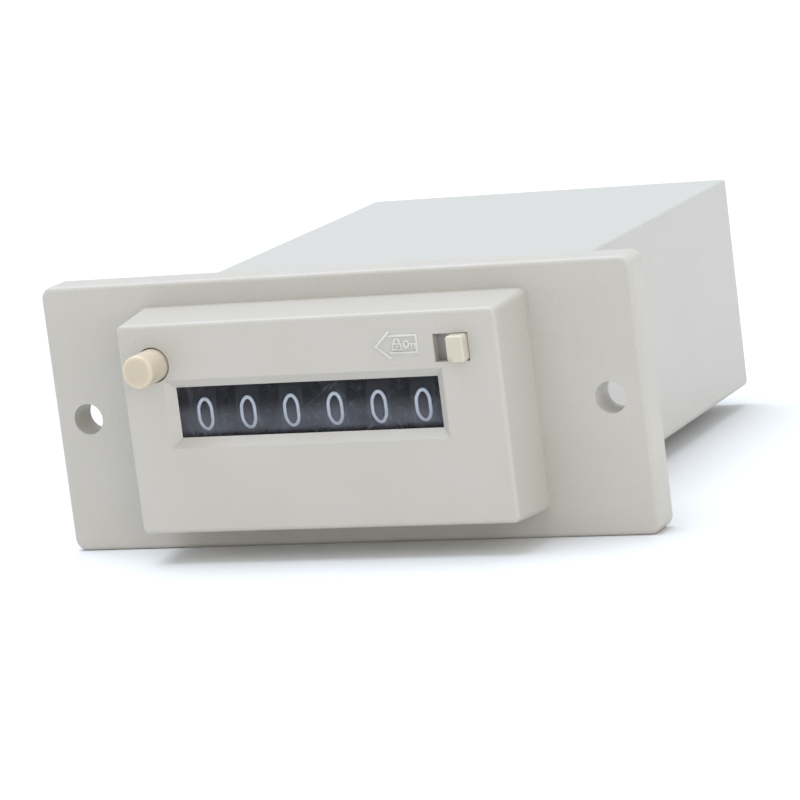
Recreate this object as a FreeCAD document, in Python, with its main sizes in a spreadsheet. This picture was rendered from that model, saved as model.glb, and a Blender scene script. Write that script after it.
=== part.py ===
import FreeCAD, Part

import math
import os

import Sketcher
from FreeCAD import Vector

# Panel-mount impulse counter: six number wheels behind a window, an electromagnet that steps them,
# a reset button and a lock slider in the bezel.  Lengths are millimetres, angles degrees.
# Origin: midway between the two panel holes, on the rear face of the flange.
# +Y goes into the panel, +X to the viewer's right, +Z up.

SIZES = {
    # flange and case
    "flange_width": 100.0,
    "flange_height": 43.0,
    "flange_thickness": 5.6,
    "flange_corner_radius": 2.0,
    "flange_edge_radius": 0.8,
    "panel_hole_pitch": 88.8,
    "panel_hole_radius": 2.5,
    "sleeve_half_width": 32.8,
    "sleeve_top": 17.7,
    "sleeve_bottom": -18.4,
    "sleeve_depth": 88.6,
    "sleeve_edge_radius": 0.5,
    "sleeve_floor_edge_radius": 1.1,
    "side_wall": 1.8,
    "top_wall": 1.8,
    "bottom_wall": 2.2,
    "post_side": 5.5,
    "post_length": 12.4,
    # bezel
    "bezel_height": 11.0,
    "bezel_left": -31.6,
    "bezel_right": 31.8,
    "bezel_bottom": -16.4,
    "bezel_top": 16.7,
    "bezel_draft": 4.3,
    "bezel_corner_radius": 1.1,
    "bezel_edge_radius": 0.7,
    "lip_height": 0.35,
    "lip_half_width": 32.8,
    "lip_bottom": -17.3,
    "lip_top": 17.55,
    "bezel_plate": 2.0,
    "collar_wall_gap": 0.3,
    "cavity_bottom": -14.4,
    "cavity_top": 14.7,
    "spigot_depth": 4.0,
    "spigot_clearance": 0.2,
    # window
    "window_left": -23.16,
    "window_right": 20.87,
    "window_bottom": -1.54,
    "window_top": 6.42,
    "window_bevel_width": 1.45,
    "window_bevel_depth": 1.4,
    "pane_thickness": 1.0,
    "pane_margin": 0.74,
    "pane_clearance": 0.1,
    # reset button and its spring
    "button_x": -26.0,
    "button_z": 10.35,
    "button_gap": 0.19,
    "button_radius": 2.6,
    "button_edge_radius": 0.5,
    "button_protrusion": 5.5,
    "collar_step": 0.7,
    "collar_thickness": 1.2,
    "collar_gap": 0.1,
    "button_tail_radius": 2.4,
    "button_tail": 1.5,
    "stem_radius": 1.5,
    "stem_gap": 0.2,
    "stem_socket": 2.6,
    "reset_coil_radius": 2.0,
    "reset_wire_radius": 0.2,
    "reset_coil_turns": 8.0,
    "spring_seat_gap": 0.05,
    # lock slider
    "slot_left": 21.4,
    "slot_right": 27.05,
    "slot_bottom": 8.77,
    "slot_top": 13.09,
    "knob_width": 2.8,
    "knob_height": 2.0,
    "knob_corner_radius": 0.45,
    "knob_edge_radius": 0.35,
    "knob_clearance": 0.1,
    "slider_plate": 0.8,
    "slider_left": 18.6,
    "slider_right": 29.5,
    "slider_bottom": 8.2,
    "slider_top": 13.7,
    "lock_travel": 2.65,
    "lock_gap": 0.65,
    "lock_bar_bottom": 9.5,
    "lock_bar_top": 12.4,
    "bridge_width": 3.0,
    "bridge_wall": 0.9,
    "bridge_clearance": 0.1,
    "bridge_left": -12.0,
    "bridge_right": 8.0,
    # number wheels
    "figure_gap": 1.0,
    "wheel_axis_z": 1.6,
    "wheel_pitch": 7.36,
    "units_wheel_x": 17.06,
    "tyre_radius": 12.0,
    "tyre_width": 4.0,
    "tyre_wall": 1.1,
    "web_thickness": 1.0,
    "hub_radius": 2.6,
    "gear_hub_radius": 3.4,
    "hub_gap": 0.2,
    "gear_teeth": 20.0,
    "gear_width": 1.0,
    "gear_root_radius": 8.9,
    "gear_tip_radius": 10.65,
    "gear_root_half": 0.78,
    "gear_tip_half": 0.3,
    "driver_width": 1.2,
    "driver_radius": 8.7,
    "driver_tip_radius": 9.2,
    "driver_tooth_half": 0.9,
    "cam_width": 0.96,
    "cam_lobe_radius": 2.9,
    "cam_lobe_side": 1.3,
    "cam_lobe_rise": 1.2,
    "end_cam_width": 1.0,
    "end_hub_extra": 0.2,
    "units_hub_end": 4.84,
    "running_clearance": 0.05,
    "press_clearance": 0.02,
    "number_shaft_radius": 1.5,
    "shaft_overhang": 0.7,
    # star wheel and detent
    "star_teeth": 10.0,
    "star_width": 1.0,
    "star_offset": 2.4,
    "star_root_radius": 6.4,
    "star_tip_radius": 8.0,
    "star_tooth_half": 1.5,
    "detent_thickness": 0.5,
    "detent_gap": 0.35,
    # reset rocker with fingers and pinions
    "rocker_back": 13.6,
    "rocker_drop": 9.5,
    "rocker_tube_radius": 2.0,
    "rocker_side_gap": 0.3,
    "rocker_shaft_radius": 1.0,
    "cheek_thickness": 0.8,
    "cheek_half_width": 1.7,
    "pinion_rise": 8.9,
    "pinion_back": 0.4,
    "pinion_shaft_radius": 0.75,
    "pinion_teeth": 8.0,
    "pinion_width": 2.8,
    "pinion_offset": -3.7,
    "pinion_root_radius": 2.9,
    "pinion_tip_radius": 4.6,
    "pinion_root_half": 0.72,
    "pinion_tip_half": 0.26,
    "finger_thickness": 0.56,
    "finger_offset": -3.78,
    "end_finger_offset": -2.7,
    "finger_reach": 14.2,
    "finger_tip_rise": 1.0,
    "finger_half_depth": 1.5,
    "crank_thickness": 1.2,
    "crank_half_width": 1.5,
    "crank_margin": 1.55,
    "crank_hub_radius": 2.2,
    # chassis
    "chassis_plate": 0.8,
    "chassis_floor": 1.0,
    "hub_side_gap": 0.26,
    "chassis_front": -9.6,
    "chassis_rear": 60.0,
    "chassis_top": 13.6,
    "chassis_nose_bottom": -13.4,
    "chassis_floor_front": 2.0,
    "notch_bottom": 7.0,
    "notch_depth": 8.6,
    "bracket_width": 5.0,
    "rod_radius": 2.0,
    "rivet_radius": 1.0,
    "front_rod_y": 18.0,
    "front_rod_z": 11.4,
    "rear_rod_y": 56.5,
    "rear_rod_z": 11.0,
    # electromagnet
    "coil_z": -2.0,
    "core_radius": 4.0,
    "air_gap": 1.2,
    "core_length": 27.6,
    "core_bore_depth": 8.0,
    "core_nose": 0.6,
    "bobbin_length": 26.0,
    "bobbin_flange": 1.0,
    "bobbin_flange_radius": 10.0,
    "bobbin_tube_radius": 5.2,
    "winding_radius": 9.2,
    "coil_clearance": 0.15,
    "yoke_half_width": 7.4,
    "yoke_back_half_width": 6.0,
    "yoke_plate": 2.0,
    "yoke_back_plate": 2.5,
    "yoke_lead": 0.2,
    "yoke_top": 6.0,
    "ear_thickness": 1.2,
    "ear_reach": 3.6,
    "ear_rise": 1.8,
    "pin_z": -13.2,
    "armature_pin_radius": 0.8,
    "armature_half_width": 5.9,
    "armature_front": 23.2,
    "armature_thickness": 2.0,
    "knuckle_overlap": 0.1,
    "armature_top": 6.0,
    "knuckle_radius": 1.6,
    "knuckle_right": 1.9,
    "arm_bottom": 1.8,
    "pallet_thickness": 1.0,
    "pallet_bottom": 3.4,
    "pallet_top": 5.2,
    "pallet_gap": 0.3,
    "pallet_tip_drop": 0.7,
    "armature_coil_radius": 1.25,
    "armature_wire_radius": 0.15,
    "armature_coil_turns": 6.0,
    "armature_coil_left": 2.4,
    "armature_coil_right": 5.9,
    # screws
    "core_screw_radius": 1.25,
    "core_screw_head_radius": 2.8,
    "core_screw_head": 2.0,
    "core_screw_length": 9.5,
    "chassis_screw_radius": 1.5,
    "chassis_screw_head_radius": 2.8,
    "chassis_screw_head": 1.2,
    "chassis_screw_length": 3.7,
    "chassis_screw_front": 33.0,
    "chassis_screw_rear": 50.0,
    "chassis_screw_recess": 0.1,
    "cover_screw_radius": 1.15,
    "cover_screw_head_radius": 2.2,
    "cover_screw_head": 1.1,
    "cover_screw_length": 9.4,
    "cover_screw_recess": 0.1,
    "screw_clearance": 0.1,
    "screw_slot_width": 0.6,
    "screw_slot_depth": 0.5,
    # rear cover and terminals
    "cover_thickness": 2.2,
    "cover_clearance": 0.1,
    "terminal_x": 8.0,
    "terminal_z": -2.0,
    "terminal_half_width": 4.8,
    "terminal_half_height": 5.0,
    "block_half_width": 15.0,
    "block_half_height": 7.2,
    "block_depth": 18.4,
    "well_depth": 8.4,
    "contact_thickness": 1.2,
    "contact_half_width": 4.0,
    "contact_half_height": 4.4,
    "tail_half_width": 1.2,
    "tail_thickness": 0.8,
    "tail_bottom": 0.8,
    "tail_reach": 3.6,
    "tail_clearance": 0.1,
    "washer_gap": 0.8,
    "washer_thickness": 0.8,
    "washer_half_width": 3.4,
    "terminal_screw_radius": 1.25,
    "terminal_screw_head_radius": 2.8,
    "terminal_screw_head": 1.8,
    "terminal_screw_length": 9.6,
    "lead_radius": 0.6,
    "lead_gap": 0.5,
    "lead_start_z": 1.0,
    "lead_sag": 1.8,
}

PLUS, MINUS = 1, -1


class Size:
    """A number together with the sheet formula that gives it."""

    def __init__(self, value, formula):
        self.value = float(value)
        self.formula = formula

    def __add__(self, other):
        other = as_size(other)
        return Size(self.value + other.value, f"({self.formula} + {other.formula})")

    def __sub__(self, other):
        other = as_size(other)
        return Size(self.value - other.value, f"({self.formula} - {other.formula})")

    def __mul__(self, other):
        other = as_size(other)
        return Size(self.value * other.value, f"({self.formula} * {other.formula})")

    def __truediv__(self, other):
        other = as_size(other)
        return Size(self.value / other.value, f"({self.formula} / {other.formula})")

    def __neg__(self):
        return Size(-self.value, f"(-1 * {self.formula})")


def as_size(number):
    """Returns a plain number as a Size; a Size comes back unchanged."""
    if isinstance(number, Size):
        return number
    return Size(number, repr(float(number)))


class Dimensions:
    """Every named size, as an attribute."""

    def __init__(self, sheet):
        for row, (name, value) in enumerate(SIZES.items(), start=1):
            sheet.set(f"A{row}", name)
            sheet.set(f"B{row}", str(value))
            sheet.setAlias(f"B{row}", name)
            setattr(self, name, Size(value, f"Sizes.{name}"))


doc = FreeCAD.newDocument("impulse_counter")
sizes_sheet = doc.addObject("Spreadsheet::Sheet", "Sizes")
dim = Dimensions(sizes_sheet)
doc.recompute()

ZERO = as_size(0)
NODES = []


# ---- helpers --------------------------------------------------------------------------------------


def bind(thing, name, size):
    """Ties one property of an object to a formula on the sheet."""
    thing.setExpression(name, as_size(size).formula)


def place(thing, x=ZERO, y=ZERO, z=ZERO):
    """Ties an object's position to the sheet."""
    bind(thing, "Placement.Base.x", x)
    bind(thing, "Placement.Base.y", y)
    bind(thing, "Placement.Base.z", z)


def node(thing, name):
    """Names an object and lists it for export."""
    thing.Label = name
    NODES.append(thing)
    return thing


def new_body(name):
    return doc.addObject("PartDesign::Body", name)


def datum(body, role):
    """Returns one of the body's own origin planes or axes."""
    for feature in body.Origin.OriginFeatures:
        if feature.Role == role:
            return feature
    raise ValueError(role)


def new_sketch(body, plane, level=ZERO):
    """Adds a sketch on a plane of the body's origin, at a level along that plane's own axis."""
    sketch = body.newObject("Sketcher::SketchObject", "Sketch")
    sketch.AttachmentSupport = [(datum(body, plane), "")]
    sketch.MapMode = "FlatFace"
    level = as_size(level)
    bind(sketch, "AttachmentOffset.Base.z", -level if plane == "XZ_Plane" else level)
    return sketch


def pin_point(sketch, geometry, vertex, u, v):
    """Fixes a sketch point at two named sizes."""
    for kind, size in (("DistanceX", u), ("DistanceY", v)):
        size = as_size(size)
        index = sketch.addConstraint(
            Sketcher.Constraint(kind, -1, 1, geometry, vertex, size.value)
        )
        sketch.setExpression(f"Constraints[{index}]", size.formula)


def outline(sketch, points):
    """Draws a closed polygon through points given as pairs of sizes."""
    points = [(as_size(u), as_size(v)) for u, v in points]
    first = sketch.GeometryCount
    count = len(points)
    for i in range(count):
        start = Vector(points[i][0].value, points[i][1].value, 0)
        end = points[(i + 1) % count]
        end = Vector(end[0].value, end[1].value, 0)
        sketch.addGeometry(Part.LineSegment(start, end), False)
    for i in range(count):
        sketch.addConstraint(
            Sketcher.Constraint("Coincident", first + i, 2, first + (i + 1) % count, 1)
        )
    for i, (u, v) in enumerate(points):
        pin_point(sketch, first + i, 1, u, v)
    return sketch


def rectangle(sketch, left, right, low, high):
    return outline(sketch, [(left, low), (right, low), (right, high), (left, high)])


def circle(sketch, u, v, radius):
    u, v, radius = as_size(u), as_size(v), as_size(radius)
    index = sketch.addGeometry(
        Part.Circle(Vector(u.value, v.value, 0), Vector(0, 0, 1), radius.value), False
    )
    pin_point(sketch, index, 3, u, v)
    limit = sketch.addConstraint(Sketcher.Constraint("Radius", index, radius.value))
    sketch.setExpression(f"Constraints[{limit}]", radius.formula)
    return sketch


def pad(body, sketch, length, way=PLUS):
    """Adds material from the sketch, along its plane's own axis or against it."""
    feature = body.newObject("PartDesign::Pad", "Pad")
    feature.Profile = sketch
    bind(feature, "Length", length)
    flipped = sketch.AttachmentSupport[0][0].Role == "XZ_Plane"
    feature.Reversed = (way == PLUS) if flipped else (way == MINUS)
    return feature


def pocket(body, sketch, length, way=PLUS):
    """Removes material and checks that some was there."""
    doc.recompute()
    before = body.Shape.Volume
    feature = body.newObject("PartDesign::Pocket", "Pocket")
    feature.Profile = sketch
    bind(feature, "Length", length)
    flipped = sketch.AttachmentSupport[0][0].Role == "XZ_Plane"
    feature.Reversed = (way == MINUS) if flipped else (way == PLUS)
    doc.recompute()
    if body.Shape.Volume >= before:
        raise RuntimeError(f"a pocket of {body.Name} removed nothing")
    return feature


def revolve(body, sketch, axis):
    """Turns a sketch all the way round its horizontal or vertical axis."""
    feature = body.newObject("PartDesign::Revolution", "Revolution")
    feature.Profile = sketch
    feature.ReferenceAxis = (sketch, [axis])
    feature.Angle = 360.0
    return feature


def loft(body, kind, first, last):
    feature = body.newObject(kind, "Loft")
    feature.Profile = first
    feature.Sections = [last]
    feature.Ruled = True
    return feature


def repeat(body, feature, count):
    """Repeats a feature around the body's own X axis."""
    pattern = body.newObject("PartDesign::PolarPattern", "Ring")
    pattern.Originals = [feature]
    pattern.Axis = (datum(body, "X_Axis"), [""])
    pattern.Angle = 360.0
    bind(pattern, "Occurrences", count)
    body.Tip = pattern
    return pattern


def round_edges(body, radius, chosen):
    """Rounds every edge of the body whose box and direction pass the test."""
    doc.recompute()
    tip = body.Tip
    names = []
    for index, edge in enumerate(tip.Shape.Edges, start=1):
        if chosen(edge):
            names.append(f"Edge{index}")
    if not names:
        raise RuntimeError(f"no edge of {body.Name} to round")
    feature = body.newObject("PartDesign::Fillet", "Fillet")
    feature.Base = (tip, names)
    bind(feature, "Radius", radius)
    doc.recompute()
    return feature


def runs_along(edge, axis):
    """True for a straight edge that leans less than ten degrees from the axis."""
    span = edge.Vertexes[-1].Point - edge.Vertexes[0].Point
    straight = span.Length > 0 and abs(edge.Length - span.Length) < 0.001
    return straight and abs(span.dot(axis)) > 0.985 * span.Length


def lies_at(edge, attribute, level):
    """True for an edge that lies wholly at one level of an axis."""
    box = edge.BoundBox
    low, high = getattr(box, attribute + "Min"), getattr(box, attribute + "Max")
    return abs(low - level) < 0.01 and abs(high - level) < 0.01


X_AXIS, Y_AXIS, Z_AXIS = Vector(1, 0, 0), Vector(0, 1, 0), Vector(0, 0, 1)


def cylinder(radius, height, x, y, z, direction):
    """Adds a plain cylinder whose base centre and axis are given."""
    rod = doc.addObject("Part::Cylinder", "Cylinder")
    bind(rod, "Radius", radius)
    bind(rod, "Height", height)
    rod.Placement = FreeCAD.Placement(Vector(0, 0, 0), FreeCAD.Rotation(Z_AXIS, direction))
    place(rod, x, y, z)
    return rod


def fuse(things, name):
    feature = doc.addObject("Part::MultiFuse", name)
    feature.Shapes = things
    return feature


def cut(base, tool, name):
    feature = doc.addObject("Part::Cut", name)
    feature.Base = base
    feature.Tool = tool
    return feature


def group(things, name):
    """Joins separate pieces of one kind into one node."""
    feature = doc.addObject("Part::Compound", name)
    feature.Links = things
    return node(feature, name)


def mirrored(thing, name):
    """Returns the piece's twin on the other side of the middle plane."""
    feature = doc.addObject("Part::Mirroring", name)
    feature.Source = thing
    feature.Base = Vector(0, 0, 0)
    feature.Normal = X_AXIS
    return feature


def screw(name, radius, length, head_radius, head, x, y, z, direction):
    """Makes a slotted screw; x, y, z is under its head and direction points out of the head."""
    back = Vector(-direction.x, -direction.y, -direction.z)
    shank = cylinder(radius, length, x, y, z, back)
    cap = cylinder(head_radius, head, x, y, z, direction)
    solid = fuse([shank, cap], name + "_solid")
    slot = doc.addObject("Part::Box", name + "_slot")
    across = head_radius * 2.2
    for side, size in (("Length", across), ("Width", dim.screw_slot_width)):
        bind(slot, side, size)
    bind(slot, "Height", dim.screw_slot_depth * 2)
    slot.Placement = FreeCAD.Placement(Vector(0, 0, 0), FreeCAD.Rotation(Z_AXIS, direction))
    centre = slot.Placement.Rotation.multVec(Vector(1, 0, 0))
    width = slot.Placement.Rotation.multVec(Vector(0, 1, 0))
    base = []
    for index, level in enumerate((x, y, z)):
        level = as_size(level)
        level = level - across * (centre[index] / 2)
        level = level - dim.screw_slot_width * (width[index] / 2)
        level = level + (head - dim.screw_slot_depth) * direction[index]
        base.append(level)
    place(slot, *base)
    return cut(solid, slot, name)


# ---- levels that several parts share --------------------------------------------------------------

flange_front = -dim.flange_thickness
bezel_front = flange_front - dim.bezel_height
plate_back = bezel_front + dim.bezel_plate
inner_half = dim.sleeve_half_width - dim.side_wall
inner_top = dim.sleeve_top - dim.top_wall
inner_bottom = dim.sleeve_bottom + dim.bottom_wall
post_rear = dim.sleeve_depth - dim.cover_thickness
pane_front = bezel_front + dim.window_bevel_depth
pane_rear = pane_front + dim.pane_thickness
chassis_base = inner_bottom + dim.chassis_floor
screw_post_x = inner_half - dim.post_side / 2
screw_post_low = inner_bottom + dim.post_side / 2
screw_post_high = inner_top - dim.post_side / 2
cover_head_seat = dim.sleeve_depth - dim.cover_screw_recess - dim.cover_screw_head
chassis_head_seat = dim.sleeve_bottom + dim.chassis_screw_recess + dim.chassis_screw_head
bracket_rear = dim.chassis_front + dim.notch_depth + dim.chassis_plate
bracket_front = dim.chassis_front + dim.notch_depth
wheel_axis_y = pane_rear + dim.figure_gap + dim.tyre_radius
rocker_y = wheel_axis_y + dim.rocker_back
rocker_z = dim.wheel_axis_z - dim.rocker_drop
pinion_y = rocker_y + dim.pinion_back
pinion_z = rocker_z + dim.pinion_rise
block_front = post_rear - dim.block_depth
well_floor = post_rear - dim.well_depth
tail_front = block_front - dim.tail_reach
stem_end = rocker_y - dim.crank_half_width - dim.stem_gap
pallet_tip_y = wheel_axis_y + dim.star_tip_radius + dim.pallet_gap
pin_y = dim.armature_front + dim.armature_thickness / 2
core_front = dim.armature_front + dim.armature_thickness + dim.air_gap
core_rear = core_front + dim.core_length
bobbin_front = core_front + dim.core_nose
bobbin_rear = bobbin_front + dim.bobbin_length
yoke_front = core_front - dim.yoke_lead


def wheel_x(number):
    """Returns the middle of a number wheel; wheel 1 counts the units."""
    return dim.units_wheel_x - dim.wheel_pitch * (number - 1)


last_hub_end = dim.tyre_width / 2 + dim.end_cam_width + dim.end_hub_extra * 2
left_plate_inner = wheel_x(6) - last_hub_end - dim.hub_side_gap
right_plate_inner = wheel_x(1) + dim.units_hub_end + dim.hub_side_gap
chassis_left = left_plate_inner - dim.chassis_plate
chassis_right = right_plate_inner + dim.chassis_plate
rocker_left = left_plate_inner + dim.rocker_side_gap
rocker_right = right_plate_inner - dim.rocker_side_gap
crank_height = dim.button_z - rocker_z + dim.crank_margin
armature_bottom = dim.pin_z + dim.knuckle_radius - dim.knuckle_overlap
arm_end = dim.units_wheel_x + dim.star_offset + dim.star_width
collar_radius = dim.button_radius + dim.collar_step
cavity_half = dim.collar_wall_gap + collar_radius - dim.button_x
lock_bar_end = dim.button_x + collar_radius + dim.lock_travel + dim.lock_gap


# ---- case, bezel and pane -------------------------------------------------------------------------


def make_case_shell():
    body = new_body("case_shell")
    half_width, half_height = dim.flange_width / 2, dim.flange_height / 2
    flange = rectangle(
        new_sketch(body, "XZ_Plane", flange_front),
        -half_width, half_width, -half_height, half_height,
    )
    pad(body, flange, dim.flange_thickness)
    round_edges(body, dim.flange_corner_radius, lambda edge: runs_along(edge, Y_AXIS))
    front = flange_front.value
    round_edges(body, dim.flange_edge_radius, lambda edge: lies_at(edge, "Y", front))
    sleeve = rectangle(
        new_sketch(body, "XZ_Plane", ZERO),
        -dim.sleeve_half_width, dim.sleeve_half_width, dim.sleeve_bottom, dim.sleeve_top,
    )
    pad(body, sleeve, dim.sleeve_depth)
    reach = dim.sleeve_depth.value
    for radius, level in (
        (dim.sleeve_edge_radius, dim.sleeve_top.value),
        (dim.sleeve_floor_edge_radius, dim.sleeve_bottom.value),
    ):
        round_edges(
            body, radius,
            lambda edge: runs_along(edge, Y_AXIS)
            and abs(edge.Length - reach) < 0.01
            and abs(edge.CenterOfMass.z - level) < 0.01,
        )
    inside = rectangle(
        new_sketch(body, "XZ_Plane", flange_front), -inner_half, inner_half, inner_bottom, inner_top
    )
    pocket(body, inside, dim.flange_thickness + dim.sleeve_depth)
    for low, high in (
        (inner_bottom, inner_bottom + dim.post_side),
        (inner_top - dim.post_side, inner_top),
    ):
        for left, right in (
            (-inner_half, dim.post_side - inner_half),
            (inner_half - dim.post_side, inner_half),
        ):
            post = rectangle(
                new_sketch(body, "XZ_Plane", post_rear - dim.post_length), left, right, low, high
            )
            pad(body, post, dim.post_length)
    holes = new_sketch(body, "XZ_Plane", post_rear)
    for x in (-screw_post_x, screw_post_x):
        for z in (screw_post_low, screw_post_high):
            circle(holes, x, z, dim.cover_screw_radius + dim.running_clearance)
    pocket(body, holes, dim.cover_screw_length, MINUS)
    panel_holes = new_sketch(body, "XZ_Plane", flange_front)
    for side in (-1, 1):
        circle(panel_holes, dim.panel_hole_pitch * (side / 2), ZERO, dim.panel_hole_radius)
    pocket(body, panel_holes, dim.flange_thickness)
    through = new_sketch(body, "XY_Plane", dim.sleeve_bottom)
    sunk = new_sketch(body, "XY_Plane", dim.sleeve_bottom)
    for y in (dim.chassis_screw_front, dim.chassis_screw_rear):
        circle(through, ZERO, y, dim.chassis_screw_radius + dim.screw_clearance)
        circle(sunk, ZERO, y, dim.chassis_screw_head_radius + dim.screw_clearance)
    pocket(body, through, dim.bottom_wall)
    pocket(body, sunk, dim.chassis_screw_head + dim.chassis_screw_recess)
    return node(body, "case_shell")


def make_front_bezel():
    body = new_body("front_bezel")
    face = rectangle(
        new_sketch(body, "XZ_Plane", bezel_front),
        dim.bezel_left, dim.bezel_right, dim.bezel_bottom, dim.bezel_top,
    )
    lip_front = flange_front - dim.lip_height
    block = pad(body, face, dim.bezel_height - dim.lip_height)
    bind(block, "TaperAngle", dim.bezel_draft)
    round_edges(body, dim.bezel_corner_radius, lambda edge: runs_along(edge, Y_AXIS))
    front = bezel_front.value
    round_edges(body, dim.bezel_edge_radius, lambda edge: lies_at(edge, "Y", front))
    lip = rectangle(
        new_sketch(body, "XZ_Plane", lip_front),
        -dim.lip_half_width, dim.lip_half_width, dim.lip_bottom, dim.lip_top,
    )
    pad(body, lip, dim.lip_height)
    spigot_half = inner_half - dim.spigot_clearance
    spigot = rectangle(
        new_sketch(body, "XZ_Plane", flange_front),
        -spigot_half, spigot_half,
        inner_bottom + dim.spigot_clearance, inner_top - dim.spigot_clearance,
    )
    pad(body, spigot, dim.spigot_depth)
    cavity = rectangle(
        new_sketch(body, "XZ_Plane", plate_back),
        -cavity_half, cavity_half, dim.cavity_bottom, dim.cavity_top,
    )
    pocket(body, cavity, dim.bezel_height + dim.spigot_depth)
    wide = dim.window_bevel_width
    bevel_outer = rectangle(
        new_sketch(body, "XZ_Plane", bezel_front),
        dim.window_left - wide, dim.window_right + wide,
        dim.window_bottom - wide, dim.window_top + wide,
    )
    bevel_inner = rectangle(
        new_sketch(body, "XZ_Plane", pane_front),
        dim.window_left, dim.window_right, dim.window_bottom, dim.window_top,
    )
    loft(body, "PartDesign::SubtractiveLoft", bevel_outer, bevel_inner)
    opening = rectangle(
        new_sketch(body, "XZ_Plane", pane_front),
        dim.window_left, dim.window_right, dim.window_bottom, dim.window_top,
    )
    pocket(body, opening, dim.bezel_plate)
    rim = dim.pane_margin + dim.pane_clearance
    recess = rectangle(
        new_sketch(body, "XZ_Plane", pane_front),
        dim.window_left - rim, dim.window_right + rim, dim.window_bottom - rim, dim.window_top + rim,
    )
    pocket(body, recess, dim.bezel_plate)
    button_hole = new_sketch(body, "XZ_Plane", bezel_front)
    circle(button_hole, dim.button_x, dim.button_z, dim.button_radius + dim.button_gap)
    pocket(body, button_hole, dim.bezel_plate)
    slot = rectangle(
        new_sketch(body, "XZ_Plane", bezel_front),
        dim.slot_left, dim.slot_right, dim.slot_bottom, dim.slot_top,
    )
    pocket(body, slot, dim.bezel_plate)
    gap, wall = dim.bridge_clearance, dim.bridge_wall
    low, high = dim.lock_bar_bottom - gap, dim.lock_bar_top + gap
    channel = plate_back + dim.slider_plate + gap
    for left in (dim.bridge_left, dim.bridge_right):
        bridge = outline(
            new_sketch(body, "YZ_Plane", left),
            [
                (plate_back, low - wall),
                (channel + wall, low - wall),
                (channel + wall, high + wall),
                (plate_back, high + wall),
                (plate_back, high),
                (channel, high),
                (channel, low),
                (plate_back, low),
            ],
        )
        pad(body, bridge, dim.bridge_width)
    return node(body, "front_bezel")


def make_window_pane():
    body = new_body("window_pane")
    rim = dim.pane_margin
    pane = rectangle(
        new_sketch(body, "XZ_Plane", pane_front),
        dim.window_left - rim, dim.window_right + rim, dim.window_bottom - rim, dim.window_top + rim,
    )
    pad(body, pane, dim.pane_thickness)
    return node(body, "window_pane")


# ---- reset button ---------------------------------------------------------------------------------

button_face = bezel_front - dim.button_protrusion
collar_front = pane_rear + dim.collar_gap
tail_rear = collar_front + dim.collar_thickness + dim.button_tail
socket_floor = button_face + dim.stem_socket


def make_reset_button():
    body = new_body("reset_button")
    socket = dim.stem_radius + dim.press_clearance
    profile = outline(
        new_sketch(body, "XY_Plane"),
        [
            (ZERO, button_face),
            (dim.button_radius, button_face),
            (dim.button_radius, collar_front),
            (collar_radius, collar_front),
            (collar_radius, collar_front + dim.collar_thickness),
            (dim.button_tail_radius, collar_front + dim.collar_thickness),
            (dim.button_tail_radius, tail_rear),
            (socket, tail_rear),
            (socket, socket_floor),
            (ZERO, socket_floor),
        ],
    )
    revolve(body, profile, "V_Axis")
    front = button_face.value
    round_edges(body, dim.button_edge_radius, lambda edge: lies_at(edge, "Y", front))
    place(body, dim.button_x, ZERO, dim.button_z)
    return node(body, "reset_button")


def make_button_stem():
    body = new_body("button_stem")
    start = socket_floor + dim.press_clearance
    profile = rectangle(
        new_sketch(body, "XY_Plane"), ZERO, dim.stem_radius, start, stem_end
    )
    revolve(body, profile, "V_Axis")
    rear = stem_end.value
    round_edges(body, dim.stem_radius * 0.98, lambda edge: lies_at(edge, "Y", rear))
    place(body, dim.button_x, ZERO, dim.button_z)
    return node(body, "button_stem")


def make_coil_spring(name, coil_radius, wire_radius, start, length, turns, axis):
    """Winds a helical spring along the body's own X or Y axis."""
    body = new_body(name)
    profile = new_sketch(body, "XY_Plane")
    if axis == "V_Axis":
        circle(profile, coil_radius, start, wire_radius)
    else:
        circle(profile, start, coil_radius, wire_radius)
    coil = body.newObject("PartDesign::AdditiveHelix", "Helix")
    coil.Profile = profile
    coil.ReferenceAxis = (profile, [axis])
    coil.Mode = "height-turns-angle"
    bind(coil, "Height", length)
    bind(coil, "Turns", turns)
    return body


def make_reset_spring():
    gap = dim.reset_wire_radius + dim.spring_seat_gap
    start = tail_rear + gap
    length = bracket_front - gap - start
    body = make_coil_spring(
        "reset_spring", dim.reset_coil_radius, dim.reset_wire_radius,
        start, length, dim.reset_coil_turns, "V_Axis",
    )
    place(body, dim.button_x, ZERO, dim.button_z)
    return node(body, "reset_spring")


# ---- lock slider ----------------------------------------------------------------------------------


def make_lock_slider():
    body = new_body("lock_slider")
    gap = dim.knob_clearance
    plate = outline(
        new_sketch(body, "XZ_Plane", plate_back),
        [
            (lock_bar_end, dim.lock_bar_bottom),
            (dim.slider_left, dim.lock_bar_bottom),
            (dim.slider_left, dim.slider_bottom),
            (dim.slider_right, dim.slider_bottom),
            (dim.slider_right, dim.slider_top),
            (dim.slider_left, dim.slider_top),
            (dim.slider_left, dim.lock_bar_top),
            (lock_bar_end, dim.lock_bar_top),
        ],
    )
    pad(body, plate, dim.slider_plate)
    knob_right = dim.slot_right - gap
    knob = rectangle(
        new_sketch(body, "XZ_Plane", plate_back),
        knob_right - dim.knob_width, knob_right, dim.slot_bottom + gap, dim.slot_top - gap,
    )
    rise = dim.bezel_plate + dim.knob_height
    pad(body, knob, rise, MINUS)
    round_edges(
        body, dim.knob_corner_radius,
        lambda edge: runs_along(edge, Y_AXIS) and abs(edge.Length - rise.value) < 0.01,
    )
    front = (bezel_front - dim.knob_height).value
    round_edges(body, dim.knob_edge_radius, lambda edge: lies_at(edge, "Y", front))
    return node(body, "lock_slider")


# ---- number wheels --------------------------------------------------------------------------------


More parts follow.
